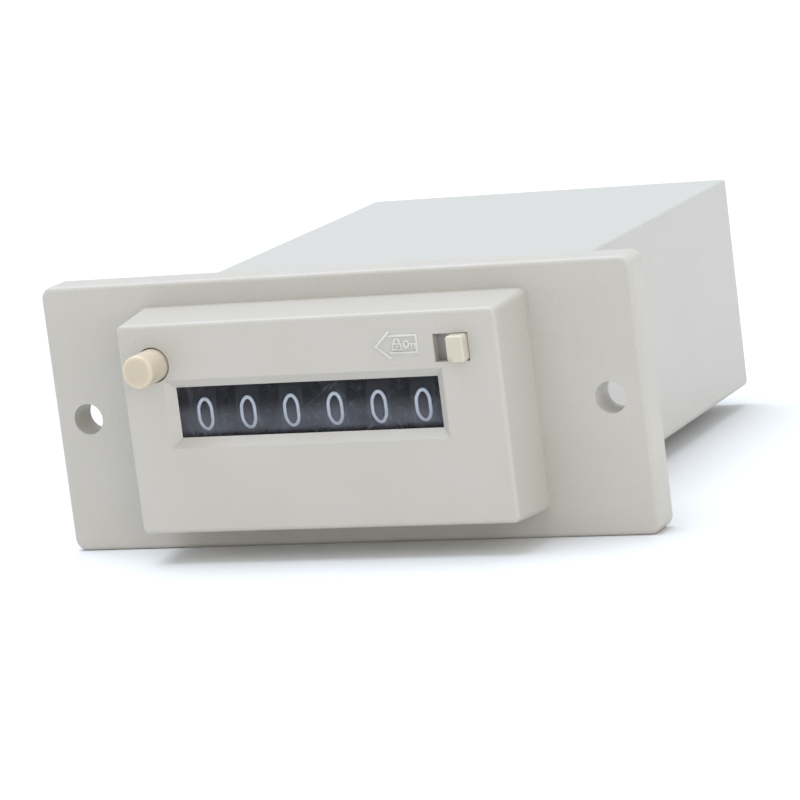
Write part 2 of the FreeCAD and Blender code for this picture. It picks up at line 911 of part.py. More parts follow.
def add_teeth(body, level, width, count, foot, tip, foot_half, tip_half, phase=None):
    """Adds a ring of straight-sided teeth around the body's X axis; phase turns the ring."""
    tooth = outline(
        new_sketch(body, "YZ_Plane", level),
        [(foot_half * -1, foot), (foot_half, foot), (tip_half, tip), (tip_half * -1, tip)],
    )
    if phase:
        bind(tooth, "AttachmentOffset.Rotation.Angle", phase)
    return repeat(body, pad(body, tooth, width), count)


def make_number_wheel(number):
    first, last = number == 1, number == 6
    body = new_body(f"number_wheel_{number}")
    half_tyre, half_web = dim.tyre_width / 2, dim.web_thickness / 2
    rim = dim.tyre_radius - dim.tyre_wall
    bore = dim.number_shaft_radius + dim.running_clearance
    gear_right = half_tyre + dim.gear_width
    right_end = dim.units_hub_end if first else gear_right
    right_hub = dim.hub_radius if first else dim.gear_hub_radius
    if last:
        left_end = -last_hub_end
    else:
        left_end = gear_right + dim.hub_gap - dim.wheel_pitch
    profile = outline(
        new_sketch(body, "XY_Plane"),
        [
            (left_end, bore),
            (right_end, bore),
            (right_end, right_hub),
            (half_web, right_hub),
            (half_web, rim),
            (half_tyre, rim),
            (half_tyre, dim.tyre_radius),
            (-half_tyre, dim.tyre_radius),
            (-half_tyre, rim),
            (-half_web, rim),
            (-half_web, dim.hub_radius),
            (left_end, dim.hub_radius),
        ],
    )
    revolve(body, profile, "H_Axis")
    inside = dim.hub_radius * 0.8
    if not first:
        disc = new_sketch(body, "YZ_Plane", half_tyre)
        circle(disc, ZERO, ZERO, dim.gear_root_radius)
        circle(disc, ZERO, ZERO, inside)
        pad(body, disc, dim.gear_width)
        add_teeth(
            body, half_tyre, dim.gear_width, dim.gear_teeth,
            dim.gear_root_radius * 0.97, dim.gear_tip_radius, dim.gear_root_half, dim.gear_tip_half,
        )
    cam_left, cam_width = left_end, dim.cam_width
    if last:
        cam_left, cam_width = left_end + dim.end_hub_extra, dim.end_cam_width
    else:
        disc = new_sketch(body, "YZ_Plane", -half_tyre - dim.driver_width)
        circle(disc, ZERO, ZERO, dim.driver_radius)
        circle(disc, ZERO, ZERO, inside)
        pad(body, disc, dim.driver_width)
        for side in (-1, 1):
            middle = dim.driver_tooth_half * (side * 1.6)
            tooth = rectangle(
                new_sketch(body, "YZ_Plane", -half_tyre - dim.driver_width),
                middle - dim.driver_tooth_half, middle + dim.driver_tooth_half,
                dim.driver_radius * 0.9, dim.driver_tip_radius * 0.96,
            )
            pad(body, tooth, dim.driver_width)
    for side in (-1, 1):
        lobe = new_sketch(body, "YZ_Plane", cam_left)
        circle(lobe, dim.cam_lobe_side * side, dim.cam_lobe_rise, dim.cam_lobe_radius)
        pad(body, lobe, cam_width)
    shaft_hole = new_sketch(body, "YZ_Plane", left_end)
    circle(shaft_hole, ZERO, ZERO, bore)
    pocket(body, shaft_hole, right_end - left_end)
    place(body, wheel_x(number), wheel_axis_y, dim.wheel_axis_z)
    return node(body, f"number_wheel_{number}")


def make_star_wheel():
    body = new_body("star_wheel")
    disc = new_sketch(body, "YZ_Plane", dim.star_offset)
    circle(disc, ZERO, ZERO, dim.star_root_radius)
    circle(disc, ZERO, ZERO, dim.hub_radius + dim.press_clearance)
    pad(body, disc, dim.star_width)
    foot = dim.star_root_radius * 0.95
    tooth = outline(
        new_sketch(body, "YZ_Plane", dim.star_offset),
        [
            (-dim.star_tooth_half, foot),
            (dim.star_tooth_half, foot),
            (dim.star_tooth_half * 0.2, dim.star_tip_radius),
            (dim.star_tooth_half * -0.2, dim.star_tip_radius),
        ],
    )
    repeat(body, pad(body, tooth, dim.star_width), dim.star_teeth)
    place(body, dim.units_wheel_x, wheel_axis_y, dim.wheel_axis_z)
    return node(body, "star_wheel")


def make_shaft(name, radius, left, right, y, z):
    """Makes a plain shaft along X."""
    body = new_body(name)
    section = new_sketch(body, "YZ_Plane", left)
    circle(section, ZERO, ZERO, radius)
    pad(body, section, right - left)
    place(body, ZERO, y, z)
    return node(body, name)


# ---- reset rocker and pinions ---------------------------------------------------------------------


def make_reset_rocker():
    body = new_body("reset_rocker")
    bore = dim.rocker_shaft_radius + dim.press_clearance
    tube = new_sketch(body, "YZ_Plane", rocker_left)
    circle(tube, ZERO, ZERO, dim.rocker_tube_radius)
    pad(body, tube, rocker_right - rocker_left)
    half = dim.cheek_half_width
    top = dim.pinion_rise + half
    for left in (rocker_left, rocker_right - dim.cheek_thickness):
        cheek = outline(
            new_sketch(body, "YZ_Plane", left),
            [
                (half * -1, ZERO),
                (half, ZERO),
                (dim.pinion_back + half, dim.pinion_rise),
                (dim.pinion_back + half * 0.5, top),
                (dim.pinion_back - half * 0.5, top),
                (dim.pinion_back - half, dim.pinion_rise),
            ],
        )
        pad(body, cheek, dim.cheek_thickness)
    reach, rise, depth = dim.finger_reach, dim.finger_tip_rise, dim.finger_half_depth
    for number in range(1, 7):
        offset = dim.end_finger_offset if number == 6 else dim.finger_offset
        finger = outline(
            new_sketch(body, "YZ_Plane", wheel_x(number) + offset - dim.finger_thickness / 2),
            [
                (ZERO, -depth),
                (depth * 0.8 - reach, -depth),
                (reach * -1 - depth * 0.6, rise * 0.4),
                (reach * -1 - depth * 0.4, rise),
                (depth * 0.4 - reach, rise),
                (depth * 2 - reach, rise * 0.2),
                (ZERO, depth),
            ],
        )
        pad(body, finger, dim.finger_thickness)
    hole = new_sketch(body, "YZ_Plane", rocker_left)
    circle(hole, ZERO, ZERO, bore)
    circle(hole, dim.pinion_back, dim.pinion_rise, dim.pinion_shaft_radius + dim.press_clearance)
    pocket(body, hole, rocker_right - rocker_left)
    place(body, ZERO, rocker_y, rocker_z)
    return node(body, "reset_rocker")


def make_reset_crank():
    body = new_body("reset_crank")
    half = dim.crank_half_width
    left = dim.button_x - dim.crank_thickness / 2
    hub = new_sketch(body, "YZ_Plane", left)
    circle(hub, ZERO, ZERO, dim.crank_hub_radius)
    pad(body, hub, chassis_left - dim.running_clearance * 2 - left)
    arm = outline(
        new_sketch(body, "YZ_Plane", left),
        [
            (half * -1, ZERO),
            (half, ZERO),
            (half, crank_height - half * 0.5),
            (half * 0.5, crank_height),
            (half * -1, crank_height),
        ],
    )
    pad(body, arm, dim.crank_thickness)
    hole = new_sketch(body, "YZ_Plane", left)
    circle(hole, ZERO, ZERO, dim.rocker_shaft_radius + dim.press_clearance)
    pocket(body, hole, chassis_left - left)
    place(body, ZERO, rocker_y, rocker_z)
    return node(body, "reset_crank")


def mesh_phase():
    """Returns the turn that puts a pinion gap on the wheel tooth nearest the line of centres."""
    rise, run = pinion_z - dim.wheel_axis_z, pinion_y - wheel_axis_y
    slope = rise / run
    line = Size(math.degrees(math.atan(slope.value)), f"atan({slope.formula})")
    half_gap = Size(180 / dim.pinion_teeth.value, f"(180 deg / {dim.pinion_teeth.formula})")
    return half_gap + line * (dim.gear_teeth / dim.pinion_teeth + 1)


def make_transfer_pinion(number):
    body = new_body(f"transfer_pinion_{number}")
    left = -dim.pinion_width / 2
    disc = new_sketch(body, "YZ_Plane", left)
    circle(disc, ZERO, ZERO, dim.pinion_root_radius)
    circle(disc, ZERO, ZERO, dim.pinion_shaft_radius + dim.running_clearance)
    pad(body, disc, dim.pinion_width)
    add_teeth(
        body, left, dim.pinion_width, dim.pinion_teeth,
        dim.pinion_root_radius * 0.9, dim.pinion_tip_radius,
        dim.pinion_root_half, dim.pinion_tip_half, mesh_phase(),
    )
    place(body, wheel_x(number) + dim.pinion_offset, pinion_y, pinion_z)
    return node(body, f"transfer_pinion_{number}")


# ---- chassis --------------------------------------------------------------------------------------


def make_chassis():
    body = new_body("chassis")
    front, rear, top = dim.chassis_front, dim.chassis_rear, dim.chassis_top
    floor = rectangle(
        new_sketch(body, "XY_Plane", inner_bottom),
        chassis_left, chassis_right, dim.chassis_floor_front, rear,
    )
    pad(body, floor, dim.chassis_floor)
    lower = [
        (rear, inner_bottom),
        (rear, top),
    ]
    nose = [
        (front, dim.chassis_nose_bottom),
        (dim.chassis_floor_front, dim.chassis_nose_bottom),
        (dim.chassis_floor_front, inner_bottom),
    ]
    left_plate = outline(
        new_sketch(body, "YZ_Plane", chassis_left),
        lower
        + [(bracket_front, top), (bracket_front, dim.notch_bottom), (front, dim.notch_bottom)]
        + nose,
    )
    pad(body, left_plate, dim.chassis_plate)
    right_plate = outline(
        new_sketch(body, "YZ_Plane", right_plate_inner), lower + [(front, top)] + nose
    )
    pad(body, right_plate, dim.chassis_plate)
    bracket = rectangle(
        new_sketch(body, "XZ_Plane", bracket_front),
        chassis_left - dim.bracket_width, chassis_left + dim.chassis_plate,
        dim.notch_bottom, top,
    )
    pad(body, bracket, dim.chassis_plate)
    holes = new_sketch(body, "YZ_Plane", chassis_left)
    fit = dim.press_clearance
    circle(holes, wheel_axis_y, dim.wheel_axis_z, dim.number_shaft_radius + fit)
    circle(
        holes, rocker_y, rocker_z, dim.rocker_shaft_radius + dim.running_clearance
    )
    circle(holes, dim.front_rod_y, dim.front_rod_z, dim.rivet_radius + fit)
    circle(holes, dim.rear_rod_y, dim.rear_rod_z, dim.rivet_radius + fit)
    pocket(body, holes, chassis_right - chassis_left)
    guide = new_sketch(body, "XZ_Plane", bracket_front)
    circle(guide, dim.button_x, dim.button_z, dim.stem_radius + dim.running_clearance)
    pocket(body, guide, dim.chassis_plate)
    screw_holes = new_sketch(body, "XY_Plane", inner_bottom)
    for y in (dim.chassis_screw_front, dim.chassis_screw_rear):
        circle(screw_holes, ZERO, y, dim.chassis_screw_radius + dim.screw_clearance)
    pocket(body, screw_holes, dim.chassis_floor)
    return node(body, "chassis")


def make_spacer_rods():
    rods = []
    reach = dim.chassis_plate + dim.shaft_overhang / 2
    for y, z in (
        (dim.front_rod_y, dim.front_rod_z),
        (dim.rear_rod_y, dim.rear_rod_z),
    ):
        span = right_plate_inner - left_plate_inner
        wide = cylinder(dim.rod_radius, span, left_plate_inner, y, z, X_AXIS)
        thin = cylinder(
            dim.rivet_radius, span + reach * 2, left_plate_inner - reach, y, z, X_AXIS
        )
        rods.append(fuse([wide, thin], "spacer_rod"))
    return group(rods, "spacer_rods")


def make_detent_spring():
    body = new_body("detent_spring")
    thin = dim.detent_thickness
    tip_z = dim.wheel_axis_z - dim.star_tip_radius - dim.detent_gap
    foot_y = rocker_y - dim.rocker_tube_radius
    strip = outline(
        new_sketch(body, "YZ_Plane", dim.units_wheel_x + dim.star_offset),
        [
            (foot_y, chassis_base),
            (foot_y, chassis_base + thin),
            (dim.chassis_floor_front + thin * 2, chassis_base + thin),
            (wheel_axis_y + thin, tip_z),
            (wheel_axis_y, tip_z),
            (dim.chassis_floor_front + thin, chassis_base),
        ],
    )
    pad(body, strip, dim.star_width)
    return node(body, "detent_spring")


# ---- electromagnet --------------------------------------------------------------------------------


def make_coil_yoke():
    body = new_body("coil_yoke")
    top = chassis_base + dim.yoke_plate
    half = dim.yoke_half_width
    rear = core_rear + dim.yoke_back_plate
    base = rectangle(
        new_sketch(body, "XY_Plane", chassis_base), -half, half, yoke_front, rear
    )
    pad(body, base, dim.yoke_plate)
    back = rectangle(
        new_sketch(body, "XZ_Plane", core_rear),
        -dim.yoke_back_half_width, dim.yoke_back_half_width, chassis_base, dim.yoke_top,
    )
    pad(body, back, dim.yoke_back_plate)
    ear_front = yoke_front - dim.ear_reach
    for left in (-half, half - dim.ear_thickness):
        ear = rectangle(
            new_sketch(body, "YZ_Plane", left),
            ear_front, yoke_front + dim.yoke_plate, chassis_base, top + dim.ear_rise,
        )
        pad(body, ear, dim.ear_thickness)
    pin_hole = new_sketch(body, "YZ_Plane", -half)
    circle(pin_hole, pin_y, dim.pin_z, dim.armature_pin_radius + dim.press_clearance)
    pocket(body, pin_hole, half * 2)
    core_hole = new_sketch(body, "XZ_Plane", core_rear)
    circle(core_hole, ZERO, dim.coil_z, dim.core_screw_radius + dim.screw_clearance)
    pocket(body, core_hole, dim.yoke_back_plate)
    screw_holes = new_sketch(body, "XY_Plane", chassis_base)
    for y in (dim.chassis_screw_front, dim.chassis_screw_rear):
        circle(screw_holes, ZERO, y, dim.chassis_screw_radius + dim.running_clearance)
    pocket(body, screw_holes, dim.yoke_plate)
    return node(body, "coil_yoke")


def make_coil_core():
    body = new_body("coil_core")
    bar = new_sketch(body, "XZ_Plane", core_front)
    circle(bar, ZERO, ZERO, dim.core_radius)
    pad(body, bar, core_rear - core_front)
    thread = new_sketch(body, "XZ_Plane", core_rear)
    circle(thread, ZERO, ZERO, dim.core_screw_radius + dim.running_clearance)
    pocket(body, thread, dim.core_bore_depth, MINUS)
    place(body, ZERO, ZERO, dim.coil_z)
    return node(body, "coil_core")


def make_coil_bobbin():
    body = new_body("coil_bobbin")
    inner = dim.core_radius + dim.coil_clearance
    front, rear, flange = bobbin_front, bobbin_rear, dim.bobbin_flange
    profile = outline(
        new_sketch(body, "XY_Plane"),
        [
            (inner, front),
            (dim.bobbin_flange_radius, front),
            (dim.bobbin_flange_radius, front + flange),
            (dim.bobbin_tube_radius, front + flange),
            (dim.bobbin_tube_radius, rear - flange),
            (dim.bobbin_flange_radius, rear - flange),
            (dim.bobbin_flange_radius, rear),
            (inner, rear),
        ],
    )
    revolve(body, profile, "V_Axis")
    place(body, ZERO, ZERO, dim.coil_z)
    return node(body, "coil_bobbin")


def make_coil_winding():
    body = new_body("coil_winding")
    gap = dim.coil_clearance
    start = bobbin_front + dim.bobbin_flange + gap
    end = bobbin_rear - dim.bobbin_flange - gap
    profile = rectangle(
        new_sketch(body, "XY_Plane"), dim.bobbin_tube_radius + gap, dim.winding_radius, start, end
    )
    revolve(body, profile, "V_Axis")
    place(body, ZERO, ZERO, dim.coil_z)
    return node(body, "coil_winding")


def make_armature():
    body = new_body("armature")
    half, front, thick = dim.armature_half_width, dim.armature_front, dim.armature_thickness
    plate = outline(
        new_sketch(body, "XZ_Plane", front),
        [
            (-half, armature_bottom),
            (half, armature_bottom),
            (half, dim.arm_bottom),
            (arm_end, dim.arm_bottom),
            (arm_end, dim.armature_top),
            (-half, dim.armature_top),
        ],
    )
    pad(body, plate, thick)
    knuckle = new_sketch(body, "YZ_Plane", -half)
    circle(knuckle, pin_y, dim.pin_z, dim.knuckle_radius)
    pad(body, knuckle, dim.knuckle_right + half)
    hole = new_sketch(body, "YZ_Plane", -half)
    circle(hole, pin_y, dim.pin_z, dim.armature_pin_radius + dim.running_clearance)
    pocket(body, hole, dim.knuckle_right + half)
    return node(body, "armature")


def make_pallet():
    body = new_body("pallet")
    front, low, high = dim.armature_front, dim.pallet_bottom, dim.pallet_top
    tip = pallet_tip_y
    lever = outline(
        new_sketch(body, "YZ_Plane", arm_end - dim.pallet_thickness),
        [
            (front, low - dim.pallet_tip_drop),
            (front, high),
            (tip + dim.pallet_tip_drop, high),
            (tip, high - dim.pallet_tip_drop),
            (tip, low - dim.pallet_tip_drop),
            (tip + dim.pallet_tip_drop, low),
        ],
    )
    pad(body, lever, dim.pallet_thickness)
    return node(body, "pallet")


def make_armature_spring():
    start = dim.armature_coil_left + dim.armature_wire_radius
    length = dim.armature_coil_right - dim.armature_wire_radius - start
    body = make_coil_spring(
        "armature_spring", dim.armature_coil_radius, dim.armature_wire_radius,
        start, length, dim.armature_coil_turns, "H_Axis",
    )
    place(body, ZERO, pin_y, dim.pin_z)
    return node(body, "armature_spring")


# ---- screws ---------------------------------------------------------------------------------------


def make_core_screw():
    seat = core_rear + dim.yoke_back_plate
    piece = screw(
        "core_screw", dim.core_screw_radius, dim.core_screw_length,
        dim.core_screw_head_radius, dim.core_screw_head, ZERO, seat, dim.coil_z, Y_AXIS,
    )
    return node(piece, "core_screw")


def make_chassis_screws():
    screws = []
    for y in (dim.chassis_screw_front, dim.chassis_screw_rear):
        screws.append(
            screw(
                "chassis_screw", dim.chassis_screw_radius, dim.chassis_screw_length,
                dim.chassis_screw_head_radius, dim.chassis_screw_head,
                ZERO, y, chassis_head_seat, Vector(0, 0, -1),
            )
        )
    return group(screws, "chassis_screws")


def make_cover_screws():
    screws = []
    for x in (-screw_post_x, screw_post_x):
        for z in (screw_post_low, screw_post_high):
            screws.append(
                screw(
                    "cover_screw", dim.cover_screw_radius, dim.cover_screw_length,
                    dim.cover_screw_head_radius, dim.cover_screw_head,
                    x, cover_head_seat, z, Y_AXIS,
                )
            )
    return group(screws, "cover_screws")


# ---- rear cover and terminals ---------------------------------------------------------------------

well_low = dim.terminal_z - dim.terminal_half_height
well_high = dim.terminal_z + dim.terminal_half_height


def well(body, level, side):
    """Draws the outline of one terminal well."""
    middle = dim.terminal_x * side
    half = dim.terminal_half_width
    return rectangle(
        new_sketch(body, "XZ_Plane", level), middle - half, middle + half, well_low, well_high
    )


def make_rear_cover():
    body = new_body("rear_cover")
    gap = dim.cover_clearance
    half = inner_half - gap
    plate = rectangle(
        new_sketch(body, "XZ_Plane", post_rear), -half, half, inner_bottom + gap, inner_top - gap
    )
    pad(body, plate, dim.cover_thickness)
    for side in (-1, 1):
        pocket(body, well(body, post_rear, side), dim.cover_thickness)
    through = new_sketch(body, "XZ_Plane", post_rear)
    sunk = new_sketch(body, "XZ_Plane", cover_head_seat)
    for x in (-screw_post_x, screw_post_x):
        for z in (screw_post_low, screw_post_high):
            circle(through, x, z, dim.cover_screw_radius + dim.screw_clearance)
            circle(sunk, x, z, dim.cover_screw_head_radius + dim.screw_clearance)
    pocket(body, through, dim.cover_thickness)
    pocket(body, sunk, dim.cover_thickness)
    return node(body, "rear_cover")


def make_terminal_block():
    body = new_body("terminal_block")
    half, tall = dim.block_half_width, dim.block_half_height
    block = rectangle(
        new_sketch(body, "XZ_Plane", block_front),
        -half, half, dim.terminal_z - tall, dim.terminal_z + tall,
    )
    pad(body, block, post_rear - block_front)
    gap = dim.tail_clearance
    for side in (-1, 1):
        middle = dim.terminal_x * side
        pocket(body, well(body, well_floor, side), post_rear - well_floor)
        slot = rectangle(
            new_sketch(body, "XZ_Plane", block_front),
            middle - dim.tail_half_width - gap, middle + dim.tail_half_width + gap,
            dim.tail_bottom - gap, dim.tail_bottom + dim.tail_thickness + gap,
        )
        pocket(body, slot, well_floor - block_front)
        thread = new_sketch(body, "XZ_Plane", well_floor)
        circle(
            thread, middle, dim.terminal_z, dim.terminal_screw_radius + dim.running_clearance
        )
        pocket(body, thread, dim.terminal_screw_length, MINUS)
    return node(body, "terminal_block")


def make_terminal_contacts():
    body = new_body("terminal_contact")
    middle, low = dim.terminal_x, dim.terminal_z
    plate = rectangle(
        new_sketch(body, "XZ_Plane", well_floor),
        middle - dim.contact_half_width, middle + dim.contact_half_width,
        low - dim.contact_half_height, low + dim.contact_half_height,
    )
    pad(body, plate, dim.contact_thickness)
    tail = rectangle(
        new_sketch(body, "XZ_Plane", tail_front),
        middle - dim.tail_half_width, middle + dim.tail_half_width,
        dim.tail_bottom, dim.tail_bottom + dim.tail_thickness,
    )
    pad(body, tail, well_floor + dim.contact_thickness - tail_front)
    hole = new_sketch(body, "XZ_Plane", well_floor)
    circle(hole, middle, low, dim.terminal_screw_radius + dim.screw_clearance)
    pocket(body, hole, dim.contact_thickness)
    return group([body, mirrored(body, "terminal_contact_left")], "terminal_contacts")


def make_clamp_washers():
    body = new_body("clamp_washer")
    middle, low, half = dim.terminal_x, dim.terminal_z, dim.washer_half_width
    level = well_floor + dim.contact_thickness + dim.washer_gap
    plate = rectangle(
        new_sketch(body, "XZ_Plane", level), middle - half, middle + half, low - half, low + half
    )
    pad(body, plate, dim.washer_thickness)
    hole = new_sketch(body, "XZ_Plane", level)
    circle(hole, middle, low, dim.terminal_screw_radius + dim.screw_clearance)
    pocket(body, hole, dim.washer_thickness)
    return group([body, mirrored(body, "clamp_washer_left")], "clamp_washers")


def make_terminal_screws():
    screws = []
    seat = well_floor + dim.contact_thickness + dim.washer_gap + dim.washer_thickness
    for side in (-1, 1):
        screws.append(
            screw(
                "terminal_screw", dim.terminal_screw_radius, dim.terminal_screw_length,
                dim.terminal_screw_head_radius, dim.terminal_screw_head,
                dim.terminal_x * side, seat, dim.terminal_z, Y_AXIS,
            )
        )
    return group(screws, "terminal_screws")


def make_lead_wires():
    body = new_body("lead_wire")
    start_y = bobbin_rear + dim.lead_gap
    end_y = tail_front - dim.lead_gap
    end_z = dim.tail_bottom + dim.tail_thickness / 2
    mid_y, mid_z = (start_y + end_y) / 2, dim.lead_start_z - dim.lead_sag
    path = new_sketch(body, "YZ_Plane", dim.terminal_x)
    points = [(start_y, dim.lead_start_z), (mid_y, mid_z), (end_y, end_z)]
    spots = [Vector(u.value, v.value, 0) for u, v in points]
    path.addGeometry(Part.Arc(*spots), False)
    curve = path.Geometry[0]
    first = 1 if (curve.StartPoint - spots[0]).Length < 0.01 else 2
    pin_point(path, 0, first, *points[0])
    pin_point(path, 0, 3 - first, *points[2])
    through = path.addGeometry(Part.Point(spots[1]), True)
    pin_point(path, through, 1, *points[1])
    path.addConstraint(Sketcher.Constraint("PointOnObject", through, 1, 0))
    section = new_sketch(body, "XZ_Plane", start_y)
    circle(section, dim.terminal_x, dim.lead_start_z, dim.lead_radius)
    wire = body.newObject("PartDesign::AdditivePipe", "Wire")
    wire.Profile = section
    wire.Spine = path
    return group([body, mirrored(body, "lead_wire_left")], "lead_wires")


# ---- whole counter --------------------------------------------------------------------------------

make_case_shell()
make_front_bezel()
make_window_pane()
make_reset_button()
make_button_stem()
make_reset_spring()
make_lock_slider()
make_chassis()
make_spacer_rods()
make_detent_spring()
make_shaft(
    "number_shaft", dim.number_shaft_radius,
    chassis_left - dim.shaft_overhang, chassis_right + dim.shaft_overhang,
    wheel_axis_y, dim.wheel_axis_z,
)
for wheel_number in range(1, 7):
    make_number_wheel(wheel_number)
make_star_wheel()
make_reset_rocker()
make_shaft(
    "rocker_shaft", dim.rocker_shaft_radius,
    dim.button_x - dim.crank_thickness, chassis_right + dim.shaft_overhang,
    rocker_y, rocker_z,
)
make_reset_crank()
make_shaft(
    "pinion_shaft", dim.pinion_shaft_radius, rocker_left, rocker_right, pinion_y, pinion_z
)
for pinion_number in range(1, 6):
    make_transfer_pinion(pinion_number)
make_coil_yoke()
make_coil_core()
make_coil_bobbin()
make_coil_winding()
make_core_screw()
make_armature()
make_pallet()
make_shaft(
    "armature_pin", dim.armature_pin_radius,
    -dim.yoke_half_width, dim.yoke_half_width, pin_y, dim.pin_z,
)
make_armature_spring()
make_chassis_screws()
make_terminal_block()
make_terminal_contacts()
make_clamp_washers()
make_terminal_screws()
make_lead_wires()
make_rear_cover()
make_cover_screws()

doc.recompute()
for thing in doc.Objects:
    if "Invalid" in thing.State or "Error" in thing.State:
        raise RuntimeError(f"{thing.Label} did not recompute: {thing.State}")

os.makedirs("parts", exist_ok=True)
for thing in NODES:
    if thing.Shape.isNull() or not thing.Shape.isValid():
        raise RuntimeError(f"{thing.Label} has no valid shape")
    thing.Shape.exportStep(f"parts/{thing.Label}.step")
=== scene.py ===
import logging
import math
from dataclasses import dataclass
from enum import Enum

import bmesh
import bpy
from mathutils import Matrix, Vector


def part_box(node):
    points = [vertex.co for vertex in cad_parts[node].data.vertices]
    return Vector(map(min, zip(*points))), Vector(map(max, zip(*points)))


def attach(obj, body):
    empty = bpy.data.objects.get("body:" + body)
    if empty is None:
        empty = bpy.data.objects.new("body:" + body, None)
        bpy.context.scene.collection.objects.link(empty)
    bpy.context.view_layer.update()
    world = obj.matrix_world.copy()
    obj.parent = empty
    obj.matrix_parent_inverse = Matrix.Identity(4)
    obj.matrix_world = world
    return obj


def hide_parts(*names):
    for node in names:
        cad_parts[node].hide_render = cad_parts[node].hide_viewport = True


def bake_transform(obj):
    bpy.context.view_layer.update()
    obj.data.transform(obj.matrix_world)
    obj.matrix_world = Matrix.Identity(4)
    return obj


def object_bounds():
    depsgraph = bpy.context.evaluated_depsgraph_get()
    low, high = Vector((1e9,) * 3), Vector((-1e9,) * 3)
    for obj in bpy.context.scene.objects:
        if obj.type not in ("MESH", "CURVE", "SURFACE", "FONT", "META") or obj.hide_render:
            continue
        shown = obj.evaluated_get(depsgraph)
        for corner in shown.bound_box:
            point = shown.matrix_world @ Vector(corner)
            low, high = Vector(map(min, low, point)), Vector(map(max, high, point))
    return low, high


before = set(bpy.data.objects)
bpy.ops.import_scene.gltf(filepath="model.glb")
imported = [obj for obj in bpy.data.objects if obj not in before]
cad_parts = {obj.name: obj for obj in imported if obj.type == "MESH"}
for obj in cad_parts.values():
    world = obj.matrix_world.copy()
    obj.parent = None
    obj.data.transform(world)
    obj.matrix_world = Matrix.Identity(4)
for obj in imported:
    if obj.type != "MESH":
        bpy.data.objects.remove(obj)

# A panel-mount electromagnetic impulse counter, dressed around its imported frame.
#
# Each sub-assembly is a class. It gives the frame's nodes their materials, and
# adds the pieces that are too fine for the frame: the printed figures, the raised
# emblem beside the lock slider, the coil's turns of wire and the return spring.

MM = 0.001
CAD_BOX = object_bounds()
log = logging.getLogger("impulse_counter")

# How far red, green and blue light travel inside a pale plastic, in parts of the reach.
WARM_SCATTER = (1.0, 0.85, 0.6)

Colour = tuple[float, float, float]
Point = tuple[float, float]


class Ride(Enum):
    """The bodies of the frame that a piece made here can move with."""

    CASE = "case"
    BUTTON = "button"
    WHEEL = "wheel_{}"


class Finish(Enum):
    """The record's material slots."""

    CASE = "case_plastic"
    BEZEL = "bezel_plastic"
    PANE = "clear_pane"
    CREAM = "cream_plastic"
    STEEL = "steel"
    SPRING = "spring_steel"
    ZINC = "zinc_steel"
    BOBBIN = "bobbin_plastic"
    COPPER = "copper_winding"
    BLACK = "black_plastic"
    BRASS = "brass_contact"
    INSULATION = "lead_insulation"
    WHEEL = "wheel_plastic"
    WHITE = "white_plastic"


def srgb(red: int, green: int, blue: int) -> Colour:
    """Turns a colour of three 0 to 255 values into linear light.

    Args:
        red: The red value.
        green: The green value.
        blue: The blue value.

    Returns:
        The linear red, green and blue.
    """

    def linear(value: int) -> float:
        """One channel in linear light."""
        share = value / 255
        return share / 12.92 if share <= 0.04045 else ((share + 0.055) / 1.055) ** 2.4

    return linear(red), linear(green), linear(blue)


# ---- shader graphs -------------------------------------------------------------------------


